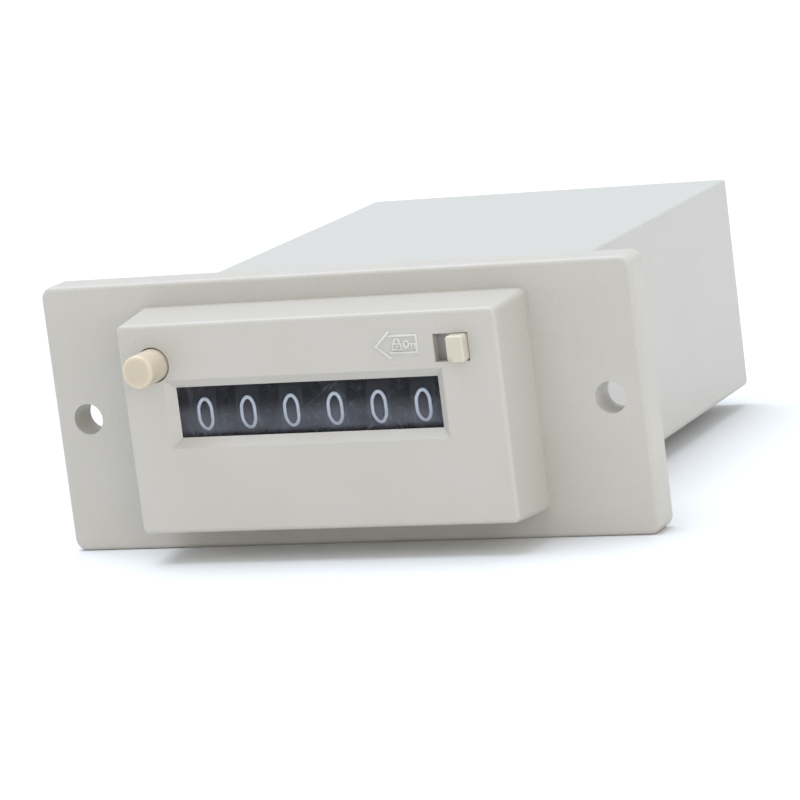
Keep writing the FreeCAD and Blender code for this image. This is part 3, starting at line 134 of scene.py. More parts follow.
class Graph:
    """One node tree while it is being built."""

    def __init__(self, tree: bpy.types.NodeTree) -> None:
        """Starts on a tree, which nodes are added to."""
        self.tree = tree

    def node(self, kind: str, inputs: dict | None = None, **settings: object) -> bpy.types.Node:
        """Adds a shader node.

        Args:
            kind: The node's type after "ShaderNode".
            inputs: What each input, by name or number, is linked or set to.
            **settings: The node's own properties.

        Returns:
            The new node.
        """
        made = self.tree.nodes.new("ShaderNode" + kind)
        for name, value in settings.items():
            setattr(made, name, value)
        for socket, value in (inputs or {}).items():
            self.feed(made.inputs[socket], value)
        return made

    def feed(self, socket: bpy.types.NodeSocket, value: object) -> None:
        """Links a socket to another one, or sets it to a plain value.

        Args:
            socket: The input to fill.
            value: An output's socket, or a plain value.
        """
        if isinstance(value, bpy.types.NodeSocket):
            self.tree.links.new(value, socket)
        else:
            socket.default_value = value

    def math(self, operation: str, *values: object, clamp: bool = False) -> bpy.types.NodeSocket:
        """Adds one Math node.

        Args:
            operation: The node's operation.
            *values: Its inputs, as sockets or numbers.
            clamp: Whether the result stays between 0 and 1.

        Returns:
            The result's socket.
        """
        inputs = dict(enumerate(values))
        return self.node("Math", inputs, operation=operation, use_clamp=clamp).outputs[0]

    def spread(self, value: object, low: float, high: float) -> bpy.types.NodeSocket:
        """Maps 0 to 1 onto low to high, as for a roughness that changes a little."""
        inputs = {"Value": value, "To Min": low, "To Max": high}
        return self.node("MapRange", inputs).outputs["Result"]

    def step(self, value: object, low: float, high: float) -> bpy.types.NodeSocket:
        """Adds a soft step.

        Args:
            value: What is compared.
            low: The value below which the step is 0.
            high: The value above which it is 1.

        Returns:
            The step's socket.
        """
        inputs = {"Value": value, "From Min": low, "From Max": high}
        made = self.node("MapRange", inputs, interpolation_type="SMOOTHSTEP")
        return made.outputs["Result"]

    def mix(self, factor: object, first: object, second: object) -> bpy.types.NodeSocket:
        """Mixes two colours.

        Args:
            factor: The share of the second colour, as a socket or a number.
            first: The first colour, as a socket or linear light.
            second: The second colour, in the same way.

        Returns:
            The mixed colour's socket.
        """
        made = self.node("Mix", data_type="RGBA")
        for number, value in ((0, factor), (6, first), (7, second)):
            self.feed(made.inputs[number], (*value, 1.0) if isinstance(value, tuple) else value)
        return made.outputs[2]

    def stretched(self, vector: object, scale: tuple[float, float, float]) -> bpy.types.NodeSocket:
        """Scales a vector by a different amount on each axis."""
        inputs = {0: vector, 1: scale}
        return self.node("VectorMath", inputs, operation="MULTIPLY").outputs[0]

    def bump(self, height: object, rise: float) -> bpy.types.NodeSocket:
        """Turns a height into a normal, with its whole rise in mm."""
        return self.node("Bump", {"Height": height, "Distance": rise * MM}).outputs[0]

    def noise(self, vector: object, scale: object, detail: float = 3.0) -> bpy.types.NodeSocket:
        """Adds a Noise texture and returns its value."""
        inputs = {"Vector": vector, "Scale": scale, "Detail": detail}
        return self.node("TexNoise", inputs).outputs[0]


class Effects:
    """The shader node groups that several materials share, each built once."""

    # A speck's and a scratch's rim go from clear to full in one part in so many.
    speck_edge = 40.0
    scratch_edge = 30.0
    # Each set of scratches has its slant, in radians, and its shift from the other.
    scratch_sets = ((0.5, 0.0), (-0.9, 3.7))
    scratch_squeeze = (14.0, 1.0, 0.7)
    scratch_level = 0.72
    # How much of the fine grain shows in a moulding's tone.
    grain_in_tone = 0.3

    def __init__(self) -> None:
        """Builds every group."""
        self.mould = self._mould()
        self.dust = self._dust()
        self.brushed = self._brushed()
        self.hairlines = self._hairlines()

    @staticmethod
    def _group(name: str, inputs: dict[str, float], outputs: tuple[str, ...]) -> tuple:
        """Starts a group with a Vector input, plain number inputs and number outputs.

        Args:
            name: The group's name.
            inputs: The number inputs and their defaults.
            outputs: The names of the outputs.

        Returns:
            The group, its graph, the node that holds its inputs and the one for its outputs.
        """
        tree = bpy.data.node_groups.new(name, "ShaderNodeTree")
        face = tree.interface
        face.new_socket("Vector", in_out="INPUT", socket_type="NodeSocketVector")
        for label, value in inputs.items():
            made = face.new_socket(label, in_out="INPUT", socket_type="NodeSocketFloat")
            made.default_value = value
        for label in outputs:
            face.new_socket(label, in_out="OUTPUT", socket_type="NodeSocketFloat")
        given = tree.nodes.new("NodeGroupInput")
        result = tree.nodes.new("NodeGroupOutput")
        return tree, Graph(tree), given, result

    def _mould(self) -> bpy.types.NodeTree:
        """The fine spark-eroded grain and the slow unevenness of a moulded face.

        Returns:
            The group, which puts out the grain's Height and a Tone.
        """
        inputs = {"Fineness": 6000.0, "Flow": 90.0}
        tree, graph, given, result = self._group("moulded grain", inputs, ("Height", "Tone"))
        fine = graph.noise(given.outputs["Vector"], given.outputs["Fineness"], 4.0)
        slow = graph.noise(given.outputs["Vector"], given.outputs["Flow"], 3.0)
        grain = graph.step(fine, 0.3, 0.7)
        graph.feed(result.inputs["Height"], grain)
        tone = graph.math("MULTIPLY_ADD", grain, self.grain_in_tone, slow)
        graph.feed(result.inputs["Tone"], tone)
        return tree

    def _dust(self) -> bpy.types.NodeTree:
        """Scattered specks of differing size, a few of which settle on any face.

        Returns:
            The group, which puts out the specks' Mask.
        """
        inputs = {"Spacing": 260.0, "Share": 0.2, "Size": 0.05}
        tree, graph, given, result = self._group("dust specks", inputs, ("Mask",))
        cells = graph.node(
            "TexVoronoi",
            {"Vector": given.outputs["Vector"], "Scale": given.outputs["Spacing"]},
        )
        chance = graph.node("SeparateColor", {0: cells.outputs["Color"]})
        kept = graph.math("LESS_THAN", chance.outputs[0], given.outputs["Share"])
        reach = graph.math("MULTIPLY", chance.outputs[1], given.outputs["Size"])
        near = graph.math("SUBTRACT", reach, cells.outputs["Distance"])
        spot = graph.math("MULTIPLY", near, self.speck_edge, clamp=True)
        graph.feed(result.inputs["Mask"], graph.math("MULTIPLY", spot, kept))
        return tree

    def _brushed(self) -> bpy.types.NodeTree:
        """Rolling or turning lines, drawn out along whichever axis Vector is squeezed on.

        Returns:
            The group, which puts out the lines' Height and a cloudy Bloom.
        """
        inputs = {"Fineness": 2500.0, "Bloom": 250.0}
        tree, graph, given, result = self._group("drawn lines", inputs, ("Height", "Bloom"))
        lines = graph.noise(given.outputs["Vector"], given.outputs["Fineness"], 2.0)
        bloom = graph.noise(given.outputs["Vector"], given.outputs["Bloom"], 5.0)
        graph.feed(result.inputs["Height"], lines)
        graph.feed(result.inputs["Bloom"], graph.step(bloom, 0.35, 0.65))
        return tree

    def _hairlines(self) -> bpy.types.NodeTree:
        """Short fine scratches at two slants.

        Returns:
            The group, which puts out the scratches' Mask.
        """
        inputs = {"Scale": 60.0, "Share": 0.02}
        tree, graph, given, result = self._group("hairline scratches", inputs, ("Mask",))
        total: bpy.types.NodeSocket | None = None
        for slant, shift in self.scratch_sets:
            turned = graph.node(
                "Mapping",
                {
                    "Vector": given.outputs["Vector"],
                    "Rotation": (0.0, slant, 0.0),
                    "Location": (shift, shift, shift),
                },
            )
            drawn = graph.stretched(turned.outputs[0], self.scratch_squeeze)
            line = graph.noise(drawn, given.outputs["Scale"], 0.0)
            level = graph.math("SUBTRACT", self.scratch_level, given.outputs["Share"])
            above = graph.math("SUBTRACT", line, level)
            thin = graph.math("MULTIPLY", above, self.scratch_edge, clamp=True)
            total = thin if total is None else graph.math("MAXIMUM", total, thin)
        graph.feed(result.inputs["Mask"], total)
        return tree


def start_material(name: str) -> tuple[bpy.types.Material, Graph, bpy.types.NodeSocket]:
    """Starts an empty material.

    Args:
        name: The material's name.

    Returns:
        The material, its graph and the piece's Object coordinates.
    """
    material = bpy.data.materials.new(name)
    material.use_nodes = True
    material.node_tree.nodes.clear()
    graph = Graph(material.node_tree)
    return material, graph, graph.node("TexCoord").outputs["Object"]


def end_material(graph: Graph, shader: bpy.types.NodeSocket) -> None:
    """Sends a shader to the material's output."""
    graph.node("OutputMaterial", {"Surface": shader})


def use_effect(graph: Graph, tree: bpy.types.NodeTree, **values: object) -> bpy.types.Node:
    """Places a shared effect in a material.

    Args:
        graph: The material's graph.
        tree: The effect's group.
        **values: The group's inputs in this material.

    Returns:
        The group node.
    """
    made = graph.node("Group", node_tree=tree)
    for label, value in values.items():
        graph.feed(made.inputs[label], value)
    return made


@dataclass(frozen=True)
class PlasticFinish:
    """A moulded plastic: a fine grain, a slow change of tone and a few specks.

    glow is the share of light that travels inside a pale plastic and lifts its
    edges, and glow_reach how far it goes, in mm. Behind the y inner_from, in
    metres, the moulding is painted the colour inner, over a seam of inner_blend mm,
    as painted light: the lock slider's painted shade and the case body's painted
    reflection tint.
    """

    name: str
    colour: Colour
    shade: Colour
    roughness: float = 0.42
    grain: float = 7000.0
    grain_height: float = 0.004
    speck: Colour = srgb(150, 144, 132)
    speck_share: float = 0.05
    glow: float = 0.0
    glow_reach: float = 1.2
    specular: float = 0.5
    inner: Colour | None = None
    inner_from: float = 0.0
    inner_blend: float = 0.05
    tone_band: tuple[float, float] = (0.35, 0.95)
    rough_spread: tuple[float, float] = (0.05, -0.04)
    speck_rise: float = 2.0

    def build(self, effects: Effects) -> bpy.types.Material:
        """Makes the material.

        Args:
            effects: The shared effects.

        Returns:
            The material.
        """
        material, graph, place = start_material(self.name)
        mould = use_effect(graph, effects.mould, Vector=place, Fineness=self.grain)
        dust = use_effect(graph, effects.dust, Vector=place, Share=self.speck_share)
        tone = graph.step(mould.outputs["Tone"], *self.tone_band)
        body = graph.mix(tone, self.shade, self.colour)
        # Behind inner_from the colour inner is painted in, as painted light: the lock slider's
        # painted shade and the case body's painted reflection tint.
        if self.inner is not None:
            depth = graph.node("SeparateXYZ", {0: place}).outputs["Y"]
            blend = self.inner_blend * MM
            behind = graph.step(depth, self.inner_from - blend, self.inner_from + blend)
            body = graph.mix(behind, body, self.inner)
        speckled = graph.mix(dust.outputs["Mask"], body, self.speck)
        rough = graph.spread(tone, *(self.roughness + part for part in self.rough_spread))
        grain = mould.outputs["Height"]
        height = graph.math("MULTIPLY_ADD", dust.outputs["Mask"], self.speck_rise, grain)
        normal = graph.bump(height, self.grain_height)
        shader = graph.node(
            "BsdfPrincipled",
            {
                "Base Color": speckled,
                "Roughness": rough,
                "Normal": normal,
                "Specular IOR Level": self.specular,
                "Subsurface Weight": self.glow,
                "Subsurface Scale": self.glow_reach * MM,
                "Subsurface Radius": WARM_SCATTER,
            },
        )
        end_material(graph, shader.outputs[0])
        return material


@dataclass(frozen=True)
class MetalFinish:
    """A bare or plated metal with drawn lines and a cloudy bloom.

    drawn squeezes the pattern on each axis, so that lines run along the axis
    with the smallest value. rough_spread is how far the bloom takes the
    roughness from its middle, and dusty what a speck adds to it.
    """

    name: str
    colour: Colour
    bloom: Colour
    roughness: float = 0.3
    drawn: tuple[float, float, float] = (0.08, 1.0, 1.0)
    lines: float = 3000.0
    line_height: float = 0.002
    rough_spread: tuple[float, float] = (-0.06, 0.1)
    dusty: float = 0.3

    def build(self, effects: Effects) -> bpy.types.Material:
        """Makes the material.

        Args:
            effects: The shared effects.

        Returns:
            The material.
        """
        material, graph, place = start_material(self.name)
        along = graph.stretched(place, self.drawn)
        rolled = use_effect(graph, effects.brushed, Vector=along, Fineness=self.lines)
        dust = use_effect(graph, effects.dust, Vector=place, Spacing=500.0, Share=0.12)
        tint = graph.mix(rolled.outputs["Bloom"], self.colour, self.bloom)
        ends = (self.roughness + part for part in self.rough_spread)
        worn = graph.spread(rolled.outputs["Bloom"], *ends)
        rough = graph.math("MULTIPLY_ADD", dust.outputs["Mask"], self.dusty, worn, clamp=True)
        normal = graph.bump(rolled.outputs["Height"], self.line_height)
        shader = graph.node(
            "BsdfPrincipled",
            {
                "Base Color": tint,
                "Roughness": rough,
                "Normal": normal,
                "Metallic": 1.0,
            },
        )
        end_material(graph, shader.outputs[0])
        return material


@dataclass(frozen=True)
class PaneFinish:
    """The clear window: see-through, with a mirror's share by angle, a painted reflection and
    hairlines.

    The painted reflection, a pale cloudy patch that stands in for light mirrored
    in the lower part of the pane, fills the foot_band to reflection_fade_band of
    the pane's height. even_veil_share of its colour lies over the whole pane as an
    even pale veil, and mark_share is how much a speck or a hairline covers.
    """

    name: str = "window acrylic"
    clear: Colour = (0.96, 0.96, 0.98)
    mark_and_reflection_colour: Colour = srgb(176, 178, 190)
    reflection_share: float = 0.1
    even_veil_share: float = 0.012
    mark_share: float = 0.22
    reflection_fade_band: tuple[float, float] = (0.3, 0.7)
    foot_band: tuple[float, float] = (0.08, 0.2)
    cloud_spread: tuple[float, float] = (-0.1, 1.9)
    gloss: float = 0.04
    bend: float = 1.16

    def build(self, effects: Effects) -> bpy.types.Material:
        """Makes the material.

        Args:
            effects: The shared effects.

        Returns:
            The material.
        """
        material, graph, place = start_material(self.name)
        low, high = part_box("window_pane")
        axes = graph.node("SeparateXYZ", {0: place})
        tall = high.z - low.z
        # Where the painted reflection lies: it fades out upwards across reflection_fade_band and
        # towards the bottom edge across foot_band, and is cloudy.
        fall, foot = (
            graph.step(axes.outputs["Z"], *(low.z + share * tall for share in band))
            for band in (self.reflection_fade_band, self.foot_band)
        )
        drop = graph.math("MULTIPLY", graph.math("SUBTRACT", 1.0, fall), foot)
        cloud = graph.noise(graph.stretched(place, (0.6, 1.0, 1.4)), 260.0, 3.0)
        painted_reflection = graph.math("MULTIPLY", drop, graph.spread(cloud, *self.cloud_spread))
        dust = use_effect(graph, effects.dust, Vector=place, Spacing=700.0, Share=0.1, Size=0.08)
        lines = use_effect(graph, effects.hairlines, Vector=place, Scale=420.0, Share=-0.06)
        marks = graph.math("MAXIMUM", dust.outputs["Mask"], lines.outputs["Mask"])
        # The painted reflection, plus an even pale veil over the whole pane.
        veil = graph.math("MULTIPLY_ADD", painted_reflection, self.reflection_share, self.even_veil_share)
        cover = graph.math("MULTIPLY_ADD", marks, self.mark_share, veil, clamp=True)
        glass = graph.node("BsdfTransparent", {"Color": (*self.clear, 1.0)})
        mirror = graph.node("BsdfGlossy", {"Color": (1, 1, 1, 1), "Roughness": self.gloss})
        bright = graph.node("Fresnel", {"IOR": self.bend})
        pane = graph.node(
            "MixShader", {0: bright.outputs[0], 1: glass.outputs[0], 2: mirror.outputs[0]}
        )
        # One diffuse colour serves for the real specks and hairlines and for the painted
        # reflection.
        marks_and_reflection = graph.node("BsdfDiffuse", {"Color": (*self.mark_and_reflection_colour, 1.0)})
        shader = graph.node("MixShader", {0: cover, 1: pane.outputs[0], 2: marks_and_reflection.outputs[0]})
        end_material(graph, shader.outputs[0])
        return material


@dataclass(frozen=True)
class InkFinish:
    """White pad-printed ink: opaque, a little uneven, with pinholes."""

    name: str = "figure ink"
    colour: Colour = srgb(226, 236, 240)
    thin: Colour = srgb(206, 218, 226)
    roughness: float = 0.5
    tone_band: tuple[float, float] = (0.4, 0.8)
    grain_height: float = 0.006

    def build(self, effects: Effects) -> bpy.types.Material:
        """Makes the material.

        Args:
            effects: The shared effects.

        Returns:
            The material.
        """
        material, graph, place = start_material(self.name)
        mould = use_effect(graph, effects.mould, Vector=place, Fineness=5000.0, Flow=1500.0)
        tone = graph.step(mould.outputs["Tone"], *self.tone_band)
        tint = graph.mix(tone, self.thin, self.colour)
        normal = graph.bump(mould.outputs["Height"], self.grain_height)
        shader = graph.node(
            "BsdfPrincipled",
            {"Base Color": tint, "Roughness": self.roughness, "Normal": normal},
        )
        end_material(graph, shader.outputs[0])
        return material


@dataclass(frozen=True)
class EnamelFinish:
    """Enamelled copper wire: a metal core under an amber varnish that pools unevenly."""

    name: str = "enamelled wire"
    colour: Colour = srgb(186, 96, 44)
    pooled: Colour = srgb(120, 48, 20)
    rough_band: tuple[float, float] = (0.24, 0.4)
    line_height: float = 0.004

    def build(self, effects: Effects) -> bpy.types.Material:
        """Makes the material.

        Args:
            effects: The shared effects.

        Returns:
            The material.
        """
        material, graph, place = start_material(self.name)
        rolled = use_effect(graph, effects.brushed, Vector=place, Fineness=3500.0, Bloom=600.0)
        tint = graph.mix(rolled.outputs["Bloom"], self.colour, self.pooled)
        rough = graph.spread(rolled.outputs["Bloom"], *self.rough_band)
        normal = graph.bump(rolled.outputs["Height"], self.line_height)
        shader = graph.node(
            "BsdfPrincipled",
            {
                "Base Color": tint,
                "Roughness": rough,
                "Normal": normal,
                "Metallic": 0.85,
                "Coat Weight": 0.6,
                "Coat Roughness": 0.12,
            },
        )
        end_material(graph, shader.outputs[0])
        return material


@dataclass(frozen=True)
class FloorFinish:
    """The plain pale paper that the counter stands on."""

    name: str = "studio paper"
    colour: Colour = (0.8, 0.8, 0.8)
    shade: Colour = (0.74, 0.74, 0.74)
    tone_spread: tuple[float, float] = (0.96, 1.0)

    def build(self, effects: Effects) -> bpy.types.Material:
        """Makes the material.

        Args:
            effects: The shared effects.

        Returns:
            The material.
        """
        material, graph, place = start_material(self.name)
        mould = use_effect(graph, effects.mould, Vector=place, Fineness=900.0, Flow=4.0)
        tone = graph.spread(mould.outputs["Tone"], *self.tone_spread)
        tint = graph.mix(tone, self.shade, self.colour)
        shader = graph.node("BsdfPrincipled", {"Base Color": tint, "Roughness": 0.9})
        end_material(graph, shader.outputs[0])
        return material


class Finishes:
    """Every material, made once and handed out by the record's slot."""

    # How far the lock slider's painted shade reaches in front of its rear face, in mm: that rear
    # part is painted grey as the shade inside the lock slot.
    slot_shade_depth = 0.9

    def __init__(self) -> None:
        """Builds the shared effects and then each finish."""
        effects = Effects()
        drawn_x, drawn_y = (0.08, 1.0, 1.0), (1.0, 0.08, 1.0)
        steel, bloom = srgb(196, 196, 198), srgb(150, 150, 154)
        made = {
            # Behind the flange the case takes the cooler colour inner, a painted reflection tint
            # that stands in for the bluish light mirrored on the body's top.
            Finish.CASE: PlasticFinish(
                "case ABS", srgb(189, 184, 176), srgb(186, 181, 172), grain=2600.0,
                grain_height=0.011, speck_share=0.8, inner=srgb(188, 185, 179),
            ),
            Finish.BEZEL: PlasticFinish(
                "bezel ABS", srgb(189, 184, 176), srgb(186, 181, 172), grain=2600.0,
                grain_height=0.011, speck_share=0.8,
            ),
            Finish.PANE: PaneFinish(),
            Finish.CREAM: PlasticFinish(
                "cream acetal", srgb(200, 189, 171), srgb(195, 183, 163), 0.36,
                speck_share=0.02, glow=0.7, glow_reach=2.2,
            ),
            Finish.STEEL: MetalFinish("turned steel", steel, bloom, 0.28, drawn_x),
            Finish.SPRING: MetalFinish(
                "spring wire", srgb(176, 172, 166), srgb(128, 124, 120), 0.25, drawn_y
            ),
            Finish.ZINC: MetalFinish(
                "zinc plate", srgb(188, 194, 200), srgb(160, 164, 160), 0.36, drawn_y, 2200.0
            ),
            Finish.BOBBIN: PlasticFinish(
                "bobbin nylon", srgb(222, 214, 190), srgb(206, 196, 168), 0.4, glow=0.2
            ),
            Finish.COPPER: EnamelFinish(),
            Finish.BLACK: PlasticFinish(
                "terminal phenolic", srgb(42, 42, 44), srgb(32, 32, 34), 0.38,
                speck=srgb(120, 118, 112), speck_share=0.06,
            ),
            Finish.BRASS: MetalFinish(
                "rolled brass", srgb(214, 178, 104), srgb(176, 138, 76), 0.3, drawn_x
            ),
            Finish.INSULATION: PlasticFinish(
                "lead sleeve", srgb(176, 34, 30), srgb(150, 26, 24), 0.45, speck_share=0.03
            ),
            Finish.WHEEL: PlasticFinish(
                "wheel nylon", srgb(27, 28, 33), srgb(23, 24, 29), 0.45, grain=5000.0,
                speck=srgb(110, 112, 120), speck_share=0.08, specular=0.16,
            ),
            Finish.WHITE: PlasticFinish(
                "gear acetal", srgb(226, 226, 222), srgb(212, 212, 206), 0.34, glow=0.2
            ),
        }
        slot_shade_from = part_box("lock_slider")[1].y - self.slot_shade_depth * MM
        # The slider's rear part, seen in the lock slot, is painted grey: a painted shade.
        self.slider = PlasticFinish(
            "cream slider with painted slot shade", srgb(201, 195, 177), srgb(196, 189, 170), 0.34,
            glow=0.3, speck_share=0.02, inner=srgb(166, 165, 162), inner_from=slot_shade_from,
        ).build(effects)
        self.by_slot = {slot: finish.build(effects) for slot, finish in made.items()}
        # The emblem's ridges are a little lighter than the bezel: a painted highlight for their
        # lit tops.
        self.ridge = PlasticFinish(
            "emblem ridge, painted highlight", srgb(214, 211, 205), srgb(209, 206, 199), speck_share=0.1
        ).build(effects)
        self.ink = InkFinish().build(effects)
        self.floor = FloorFinish().build(effects)

    def dress(
        self, slot: Finish, *nodes: str, material: bpy.types.Material | None = None
    ) -> None:
        """Gives a slot's material to nodes of the frame, which keep their shape.

        Args:
            slot: The finish.
            *nodes: The names of the nodes.
            material: Another material in place of the slot's own.
        """
        chosen = material or self.by_slot[slot]
        for name in nodes:
            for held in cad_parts[name].material_slots:
                held.material = chosen
            log.info("%s: %s", name, chosen.name)


# ---- making pieces -------------------------------------------------------------------------


def new_piece(
    name: str, shape: bmesh.types.BMesh, material: bpy.types.Material, smooth: bool = True
) -> bpy.types.Object:
    """Makes a finished mesh an object at the origin.

    Args:
        name: The piece's name.
        shape: Its mesh, in metres and in place. It is freed.
        material: Its material.
        smooth: Whether its faces are shaded smooth.

    Returns:
        The object.
    """
    for face in shape.faces:
        face.smooth = smooth
    mesh = bpy.data.meshes.new(name)
    shape.to_mesh(mesh)
    shape.free()
    mesh.materials.append(material)
    piece = bpy.data.objects.new(name, mesh)
    bpy.context.scene.collection.objects.link(piece)
    return piece


def place_on(piece: bpy.types.Object, body: str) -> None:
    """Makes a piece move with a body.

    Args:
        piece: The piece.
        body: The body's name.
    """
    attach(piece, body)
    log.info("%s rides on %s, %d faces", piece.name, body, len(piece.data.polygons))


@dataclass(frozen=True)
class Stroke:
    """One line of a drawing, smooth through its points except at its corners."""

    points: tuple[Point, ...]
    corners: tuple[int, ...] = ()
    closed: bool = False

    def handle(self, number: int) -> str:
        """The kind of handle that a point has."""
        return "VECTOR" if number in self.corners else "AUTO"


def sharp(*points: Point, closed: bool = False) -> Stroke:
    """A stroke with a corner at every point."""
    return Stroke(points, tuple(range(len(points))), closed)


def ring(x: float, y: float, half_width: float, half_height: float, fullness: float) -> Stroke:
    """A closed oval.

    Args:
        x: Its middle.
        y: Its middle.
        half_width: Half its width.
        half_height: Half its height.
        fullness: How far its four slanting points lie out, 0.707 on an ellipse.

    Returns:
        The stroke.
    """
    a, b, s = half_width, half_height, fullness
    turns = ((0, 1), (s, s), (1, 0), (s, -s), (0, -1), (-s, -s), (-1, 0), (-s, s))
    return Stroke(tuple((x + a * u, y + b * v) for u, v in turns), closed=True)


@dataclass(frozen=True)
class Pen:
    """Draws strokes as low rounded ridges on a flat sheet.

    width is the ridge's width and rise its whole thickness, half of it above
    the sheet. Sizes are in mm.
    """

    width: float
    rise: float
    sides: int = 2
    steps: int = 5
    end_segments: tuple[int, int] = (10, 6)

    def _curve(self, stroke: Stroke) -> bpy.types.Mesh:
        """Turns one stroke into a tube's mesh.

        Args:
            stroke: The line, in mm.

        Returns:
            The tube, in metres.
        """
        curve = bpy.data.curves.new("stroke", "CURVE")
        curve.dimensions = "3D"
        curve.bevel_depth = 0.5 * self.width * MM
        curve.bevel_resolution = self.sides
        curve.resolution_u = self.steps
        curve.use_fill_caps = True
        line = curve.splines.new("BEZIER")
        line.bezier_points.add(len(stroke.points) - 1)
        for number, (x, y) in enumerate(stroke.points):
            point = line.bezier_points[number]
            point.co = (x * MM, y * MM, 0.0)
            point.handle_left_type = point.handle_right_type = stroke.handle(number)
        line.use_cyclic_u = stroke.closed
        holder = bpy.data.objects.new("stroke", curve)
        mesh = bpy.data.meshes.new_from_object(holder)
        bpy.data.objects.remove(holder)
        bpy.data.curves.remove(curve)
        return mesh

    def draw(self, strokes: tuple[Stroke, ...]) -> bmesh.types.BMesh:
        """Draws strokes in the sheet's x and y, with the rise along z.

        Args:
            strokes: The lines, in mm.

        Returns:
            One mesh of them all, in metres.
        """
        shape = bmesh.new()
        for stroke in strokes:
            mesh = self._curve(stroke)
            shape.from_mesh(mesh)
            bpy.data.meshes.remove(mesh)
            last = len(stroke.points) - 1
            ends = () if stroke.closed else (0, last)
            around, along = self.end_segments
            for number in {*ends, *stroke.corners}:
                x, y = stroke.points[number]
                bmesh.ops.create_uvsphere(
                    shape,
                    u_segments=around,
                    v_segments=along,
                    radius=0.5 * self.width * MM,
                    matrix=Matrix.Translation((x * MM, y * MM, 0.0)),
                )
        bmesh.ops.remove_doubles(shape, verts=shape.verts, dist=0.0005 * MM)
        flat = Vector((1.0, 1.0, self.rise / self.width))
        bmesh.ops.scale(shape, vec=flat, verts=shape.verts)
        bmesh.ops.recalc_face_normals(shape, faces=shape.faces)
        return shape


# ---- sub-assemblies ------------------------------------------------------------------------


@dataclass
class Casework:
    """The case with its panel flange, the bezel, and the cover that closes the rear."""

    def build(self, finishes: Finishes) -> None:
        """Dresses the nodes.

        Args:
            finishes: The materials.
        """
        finishes.dress(Finish.CASE, "case_shell", "rear_cover")
        finishes.dress(Finish.BEZEL, "front_bezel")
        finishes.dress(Finish.STEEL, "cover_screws")


@dataclass
class BezelEmblem:
    """The raised marking beside the lock slider: a hollow arrow that points left.

    A padlock and a key stand in the arrow's shaft, and a faint line round the
    whole shows where the mould's insert was. Sizes are in mm in the frame's x
    and z, and the rises are each ridge's whole thickness. shaft and border hold
    their left, right, low and high sides.
    """

    line: float = 0.42
    rise: float = 0.5
    sign_line: float = 0.3
    border_line: float = 0.16
    border_rise: float = 0.035
    tip: Point = (11.98, 11.55)
    head: tuple[Point, Point] = ((14.2, 13.62), (14.2, 9.7))
    shaft: tuple[float, float, float, float] = (14.32, 18.7, 10.5, 13.06)
    lock_from: float = 1.13
    key_from: float = 2.27
    border: tuple[float, float, float, float] = (11.45, 19.95, 8.5, 14.15)

    def arrow(self) -> tuple[Stroke, ...]:
        """Draws the arrow.

        Returns:
            The open head and the three sides of the shaft.
        """
        left, right, low, high = self.shaft
        top, bottom = self.head
        return (
            sharp(top, self.tip, bottom),
            sharp((left, high), (right, high), (right, low), (left, low)),
        )

    def padlock(self, x: float, z: float) -> tuple[Stroke, ...]:
        """Draws a padlock.

        Args:
            x: Its middle.
            z: Its middle.

        Returns:
            Its box, its shackle and its keyhole.
        """
        side, top, foot = 0.68, z + 0.06, z - 0.83
        shackle, shoulder, crown = 0.44, z + 0.46, z + 0.86
        keyhole = (z - 0.28, z - 0.48)
        box = ((x - side, top), (x + side, top), (x + side, foot), (x - side, foot))
        bow = (
            (x - shackle, top), (x - shackle, shoulder), (x, crown), (x + shackle, shoulder),
            (x + shackle, top),
        )
        return (
            sharp(*box, closed=True),
            Stroke(bow, corners=(0, 4)),
            sharp(*((x, end) for end in keyhole)),
        )

    def key(self, x: float, z: float) -> tuple[Stroke, ...]:
        """Draws a key that points right.

        Args:
            x: Its left end.
            z: Its middle.

        Returns:
            Its bow, its shank and its two bits.
        """
        half_width, half_height, end = 0.4, 0.5, 1.92
        bits = ((1.36, 0.5), (1.84, 0.62))
        return (
            ring(x + half_width, z, half_width, half_height, 0.707),
            sharp((x + 2 * half_width, z), (x + end, z)),
            *(sharp((x + place, z), (x + place, z - drop)) for place, drop in bits),
        )

    def signs(self) -> tuple[Stroke, ...]:
        """Draws a padlock and a key, side by side in the shaft.

        Returns:
            Their lines.
        """
        left, _, low, high = self.shaft
        middle = 0.5 * (low + high)
        return self.padlock(left + self.lock_from, middle) + self.key(left + self.key_from, middle)

    def insert(self) -> tuple[Stroke, ...]:
        """Draws the faint border line.

        Returns:
            Its one closed stroke.
        """
        left, right, low, high = self.border
        corners = ((left, high), (right, high), (right, low), (left, low))
        return (sharp(*corners, closed=True),)

    def build(self, finishes: Finishes) -> None:
        """Makes the ridges on the bezel's front face.

        Args:
            finishes: The materials.
        """
        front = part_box("front_bezel")[0].y
        upright = Matrix.Translation((0.0, front, 0.0)) @ Matrix.Rotation(math.pi / 2, 4, "X")
        plain = finishes.by_slot[Finish.BEZEL]
        # The arrow and the signs take the ridge finish, whose lighter colour is a painted
        # highlight.
        drawn = {
            "emblem_arrow": (self.line, self.rise, self.arrow(), finishes.ridge),
            "emblem_signs": (self.sign_line, self.rise, self.signs(), finishes.ridge),
            "emblem_border": (self.border_line, self.border_rise, self.insert(), plain),
        }
        for name, (width, rise, strokes, material) in drawn.items():
            shape = Pen(width, rise).draw(strokes)
            bmesh.ops.transform(shape, matrix=upright, verts=shape.verts)
            piece = new_piece(name, shape, material)
            place_on(piece, Ride.CASE.value)


